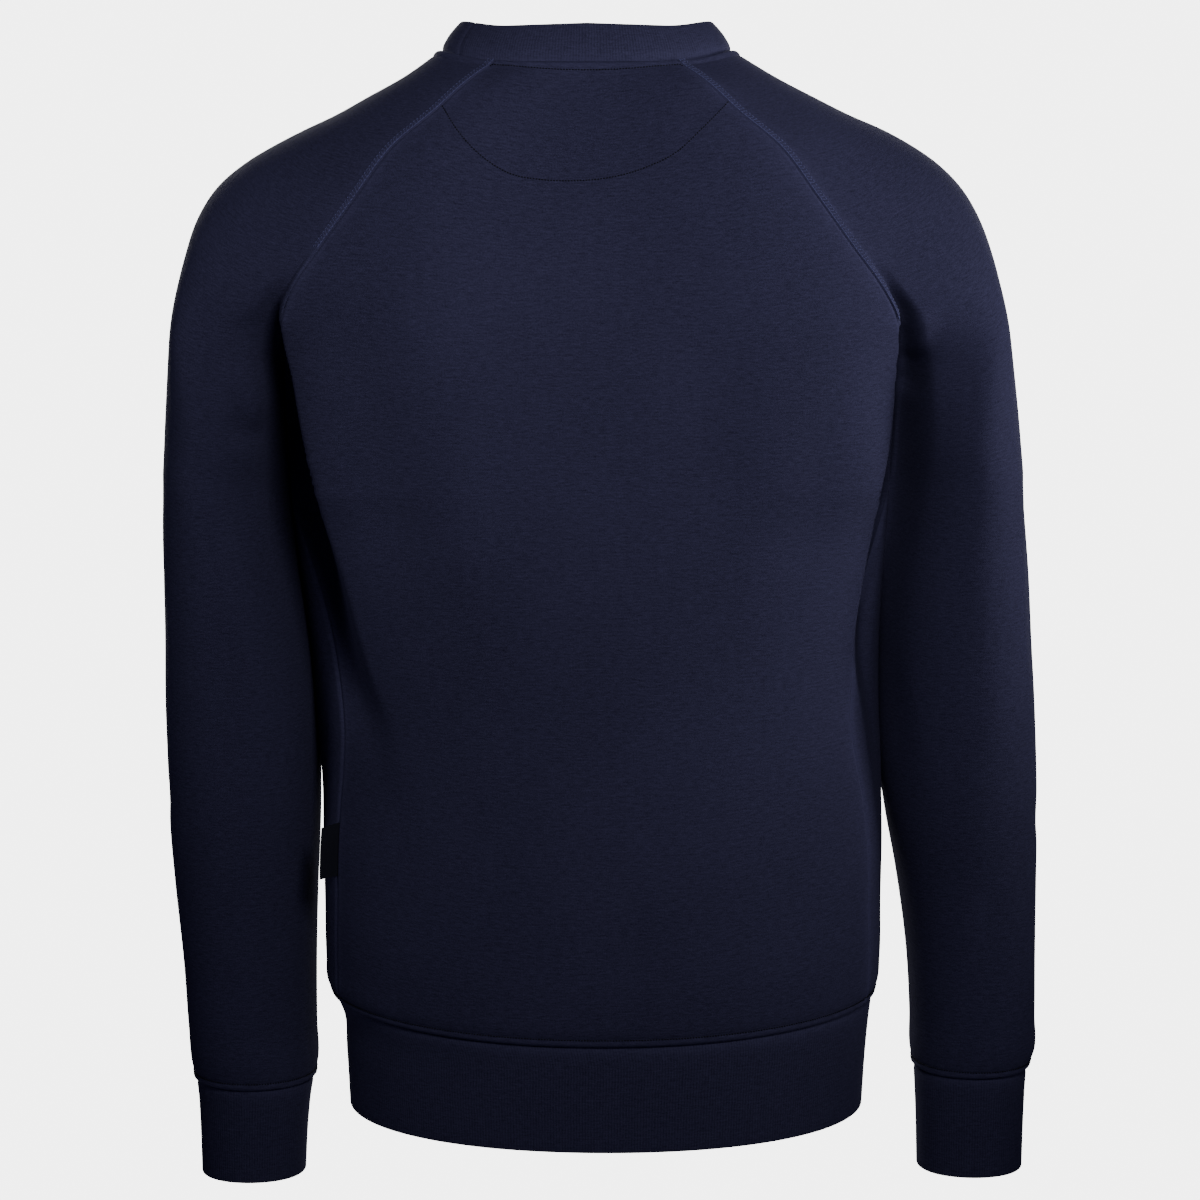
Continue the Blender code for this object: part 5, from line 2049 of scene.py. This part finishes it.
@dataclass
class SideLabel:
    """Bare woven label, folded once and sewn into the left side seam.

    Attributes:
        piece: The back panel, whose left border is the side seam.
        reach: How far it stands out of the seam.
        backwards: How far it turns back for each metre outwards.
        droop: How far its fold hangs lower than its root.
        level_off: Share of that droop which its lower edge hasn't.
        clear: How far its root stands off the seam.
        thickness: Distance between its two outer faces.
        tape: Thickness of the tape.
        straight: Share of its reach over which its two faces are flat.
        bend: Depth of the rounded fold, as a share of the reach.
        turn: How far the fold is drawn to either side of its tip, in degrees.
        steps: Points on each face and round the fold.
        flat: Width and length of the tape before it is folded. Not used.
    """

    piece: Piece
    finish: Material
    top_z: float = -0.4850
    height: float = 0.0340
    reach: float = 0.0120
    backwards: float = 0.55
    droop: float = 0.0030
    level_off: float = 0.3
    clear: float = 0.0002
    thickness: float = 0.0014
    tape: float = 0.0004
    straight: float = 0.90
    bend: float = 0.06
    turn: float = 75.0
    steps: int = 6
    rows: int = 13
    flat: tuple[float, float] = (0.024, 0.034)

    def build(self) -> None:
        """Builds the label as a flat loop with its fold away from the seam."""
        seam, out = self.piece.outer[:, 0], self.piece.out[:, 0]
        rows = []
        for share in np.linspace(0.0, 1.0, self.rows):
            z = self.top_z - self.height * share
            root, way = (
                np.array([np.interp(z, seam[:, 2], line[:, axis]) for axis in range(3)])
                for line in (seam, out)
            )
            way = unit(way * (1.0, self.backwards, 0.0))
            across = np.array([-way[1], way[0], 0.0]) * self.thickness / 2
            fall = np.array([0.0, 0.0, -self.droop * (1 - self.level_off * share)])
            rows.append(self.section(root + way * self.clear, way * self.reach + fall, across))
        grid = np.array(rows)
        index = closed_rows(*grid.shape[:2])
        faces = quads(index)[:, TURNED_OVER]
        half = grid.shape[1] // 2
        for row, turn in ((0, 1), (-1, -1)):
            line = index[row]
            near, far = line[:half], line[half:-1][::-1]
            end = np.stack([near[:-1], near[1:], far[1:], far[:-1]], axis=-1)
            faces = np.vstack([faces, end[:, ::turn]])
        made = new_object("side_label_woven", mesh_of("side_label", grid.reshape(-1, 3), faces))
        made.data.materials.append(self.finish)
        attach(made, "root")
        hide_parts("side_label")
        log.info("%s: %d quads", made.name, len(made.data.polygons))

    def section(self, root: Array, reach: Array, across: Array) -> Array:
        """Level section of the folded tape.

        Args:
            root: Where the label leaves the seam.
            reach: From there to the fold.
            across: Half the label's thickness.

        Returns:
            The outside from the seam round the fold and back, then the inside.
        """
        turns = np.radians(np.linspace(-self.turn, self.turn, self.steps))
        there = np.linspace(0.0, self.straight, self.steps)
        back = np.linspace(self.straight, 0.0, self.steps)
        face = np.ones(self.steps)
        paths = []
        for part in (1.0, 1.0 - self.tape / (self.thickness / 2)):
            tip = 1.0 - self.bend + self.bend * part * np.cos(turns)
            places = np.concatenate([there, tip, back])
            sides = np.concatenate([-face, np.sin(turns), face]) * part
            paths.append(root + places[:, None] * reach + sides[:, None] * across)
        return np.vstack([paths[0], paths[1][::-1]])


@dataclass(frozen=True)
class SoftLight:
    """A square soft light that faces a point inside the garment, over a spread."""

    name: str
    place: tuple[float, float, float]
    size: float
    power: float
    aim: tuple[float, float]
    spread: float


@dataclass
class Studio:
    """Pale round floor, soft lights and the camera behind the garment.

    Attributes:
        middle: The point that the camera looks at, from its distance and elevation.
        lens: The camera's focal length in millimetres.
        sensor: The width of its sensor in millimetres.
        solid_share: Share of the floor's radius out to which the paper is solid.
        backdrop: Brightness of the backdrop that the camera sees.
        ambient: Brightness of the light that the backdrop gives.
        shade: Colour of that light.
    """

    middle: tuple[float, float, float] = (-0.008, 0.0, -0.347)
    distance: float = 3.0
    elevation: float = 9.0
    lens: float = 139.97
    sensor: float = 36.0
    floor_z: float = -1.15
    floor_radius: float = 1.25
    floor_sides: int = 64
    solid_share: float = 0.35
    paper: str = "#F2F2F2"
    backdrop: float = 5.0
    ambient: float = 0.04
    shade: str = "#8C92FF"
    lights: tuple[SoftLight, ...] = (
        SoftLight("back_key", (-0.24, 1.30, 0.33), 0.40, 4.2, (0.00, -0.05), 96.0),
        SoftLight("back_side", (-1.33, 0.15, -0.18), 0.45, 1.15, (-0.12, -0.18), 44.0),
        SoftLight("back_fill", (1.28, 0.34, 0.05), 0.45, 0.45, (0.20, -0.16), 60.0),
        SoftLight("front_key", (0.42, -1.25, 0.00), 0.60, 5.0, (0.00, -0.20), 100.0),
        SoftLight("front_fill", (-0.42, -1.25, 0.00), 0.60, 3.4, (0.00, -0.20), 100.0),
    )

    def build(self) -> None:
        """Builds the camera, the floor, the lights and the backdrop."""
        self.add_camera()
        self.add_floor()
        for light in self.lights:
            self.add_light(light)
        self.add_backdrop()

    def add_backdrop(self) -> None:
        """Surrounds the garment with a bright even backdrop that adds only soft light to it."""
        world = bpy.data.worlds.new("studio")
        bpy.context.scene.world = world
        world.use_nodes = True
        tree = world.node_tree
        tree.nodes.clear()
        seen = add(tree, "ShaderNodeLightPath").outputs["Is Camera Ray"]
        links = {0: seen, 2: self.ambient, 3: self.backdrop}
        strength = add(tree, "ShaderNodeMix", links, data_type="FLOAT").outputs[0]
        links = {0: seen, 6: colour(self.shade), 7: colour("#FFFFFF")}
        tint = add(tree, "ShaderNodeMix", links, data_type="RGBA").outputs[2]
        sky = add(tree, "ShaderNodeBackground", {"Strength": strength, "Color": tint})
        add(tree, "ShaderNodeOutputWorld", {"Surface": sky.outputs[0]})

    def add_camera(self) -> None:
        """Stands the camera behind the garment, a little above its middle."""
        angle = np.radians(self.elevation)
        camera = bpy.data.objects.new("camera", bpy.data.cameras.new("camera"))
        camera.data.lens = self.lens
        camera.data.sensor_width = self.sensor
        away = Vector((0.0, float(np.cos(angle)), float(np.sin(angle))))
        camera.location = Vector(self.middle) + away * self.distance
        camera.rotation_euler = (-away).to_track_quat("-Z", "Y").to_euler()
        bpy.context.scene.collection.objects.link(camera)
        bpy.context.scene.camera = camera

    def add_floor(self) -> None:
        """Lays a round paper floor that melts into the backdrop at its rim."""
        # plain pale paper without gloss, which holds no more than a faint shadow
        made, tree, shader = cleared("matt_paper_floor")
        shader.inputs["Base Color"].default_value = colour(self.paper)
        shader.inputs["Roughness"].default_value = 0.95
        shader.inputs["Specular IOR Level"].default_value = 0.1
        place = add(tree, "ShaderNodeTexCoord").outputs["Object"]
        level = add(tree, "ShaderNodeVectorMath", {0: place, 1: (1, 1, 0)}, operation="MULTIPLY")
        reach = add(tree, "ShaderNodeVectorMath", {0: level.outputs[0]}, operation="LENGTH")
        rim = self.floor_radius
        ends = {0: reach.outputs[1], 1: rim * self.solid_share, 2: rim, 3: 1.0, 4: 0.0}
        fade = add(tree, "ShaderNodeMapRange", ends, interpolation_type="SMOOTHERSTEP")
        tree.links.new(fade.outputs[0], shader.inputs["Alpha"])
        turns = np.linspace(0, 2 * np.pi, self.floor_sides + 1)[:-1]
        points = [
            (radius * np.cos(turn), radius * np.sin(turn), self.floor_z)
            for radius in (0.01, rim / 2, rim)
            for turn in turns
        ]
        faces = quads(closed_rows(3, self.floor_sides))[:, TURNED_OVER]
        floor = new_object("floor", mesh_of("floor", np.array(points), faces))
        floor.data.materials.append(made)

    def add_light(self, light: SoftLight) -> None:
        """Adds one soft light.

        Args:
            light: The light.
        """
        lamp_data = bpy.data.lights.new(light.name, "AREA")
        lamp_data.energy = light.power
        lamp_data.size = light.size
        lamp_data.spread = float(np.radians(light.spread))
        lamp = bpy.data.objects.new(light.name, lamp_data)
        lamp.location = light.place
        aim = Vector((light.aim[0], 0.0, light.aim[1])) - lamp.location
        lamp.rotation_euler = aim.to_track_quat("-Z", "Y").to_euler()
        bpy.context.scene.collection.objects.link(lamp)


def main() -> None:
    """Builds the sub-assemblies in order and reports each piece."""
    logging.basicConfig(level=logging.INFO, format="%(name)s: %(message)s")
    finishes = Wardrobe.stocked()
    pieces = SewnPanels(SweatshirtForm(creases=CREASES, tucks=TUCKS), finishes).build()
    SeamStitching(pieces, finishes).build()
    SideLabel(pieces["back"], finishes.label).build()
    Studio().build()


if __name__ == "__main__":
    main()
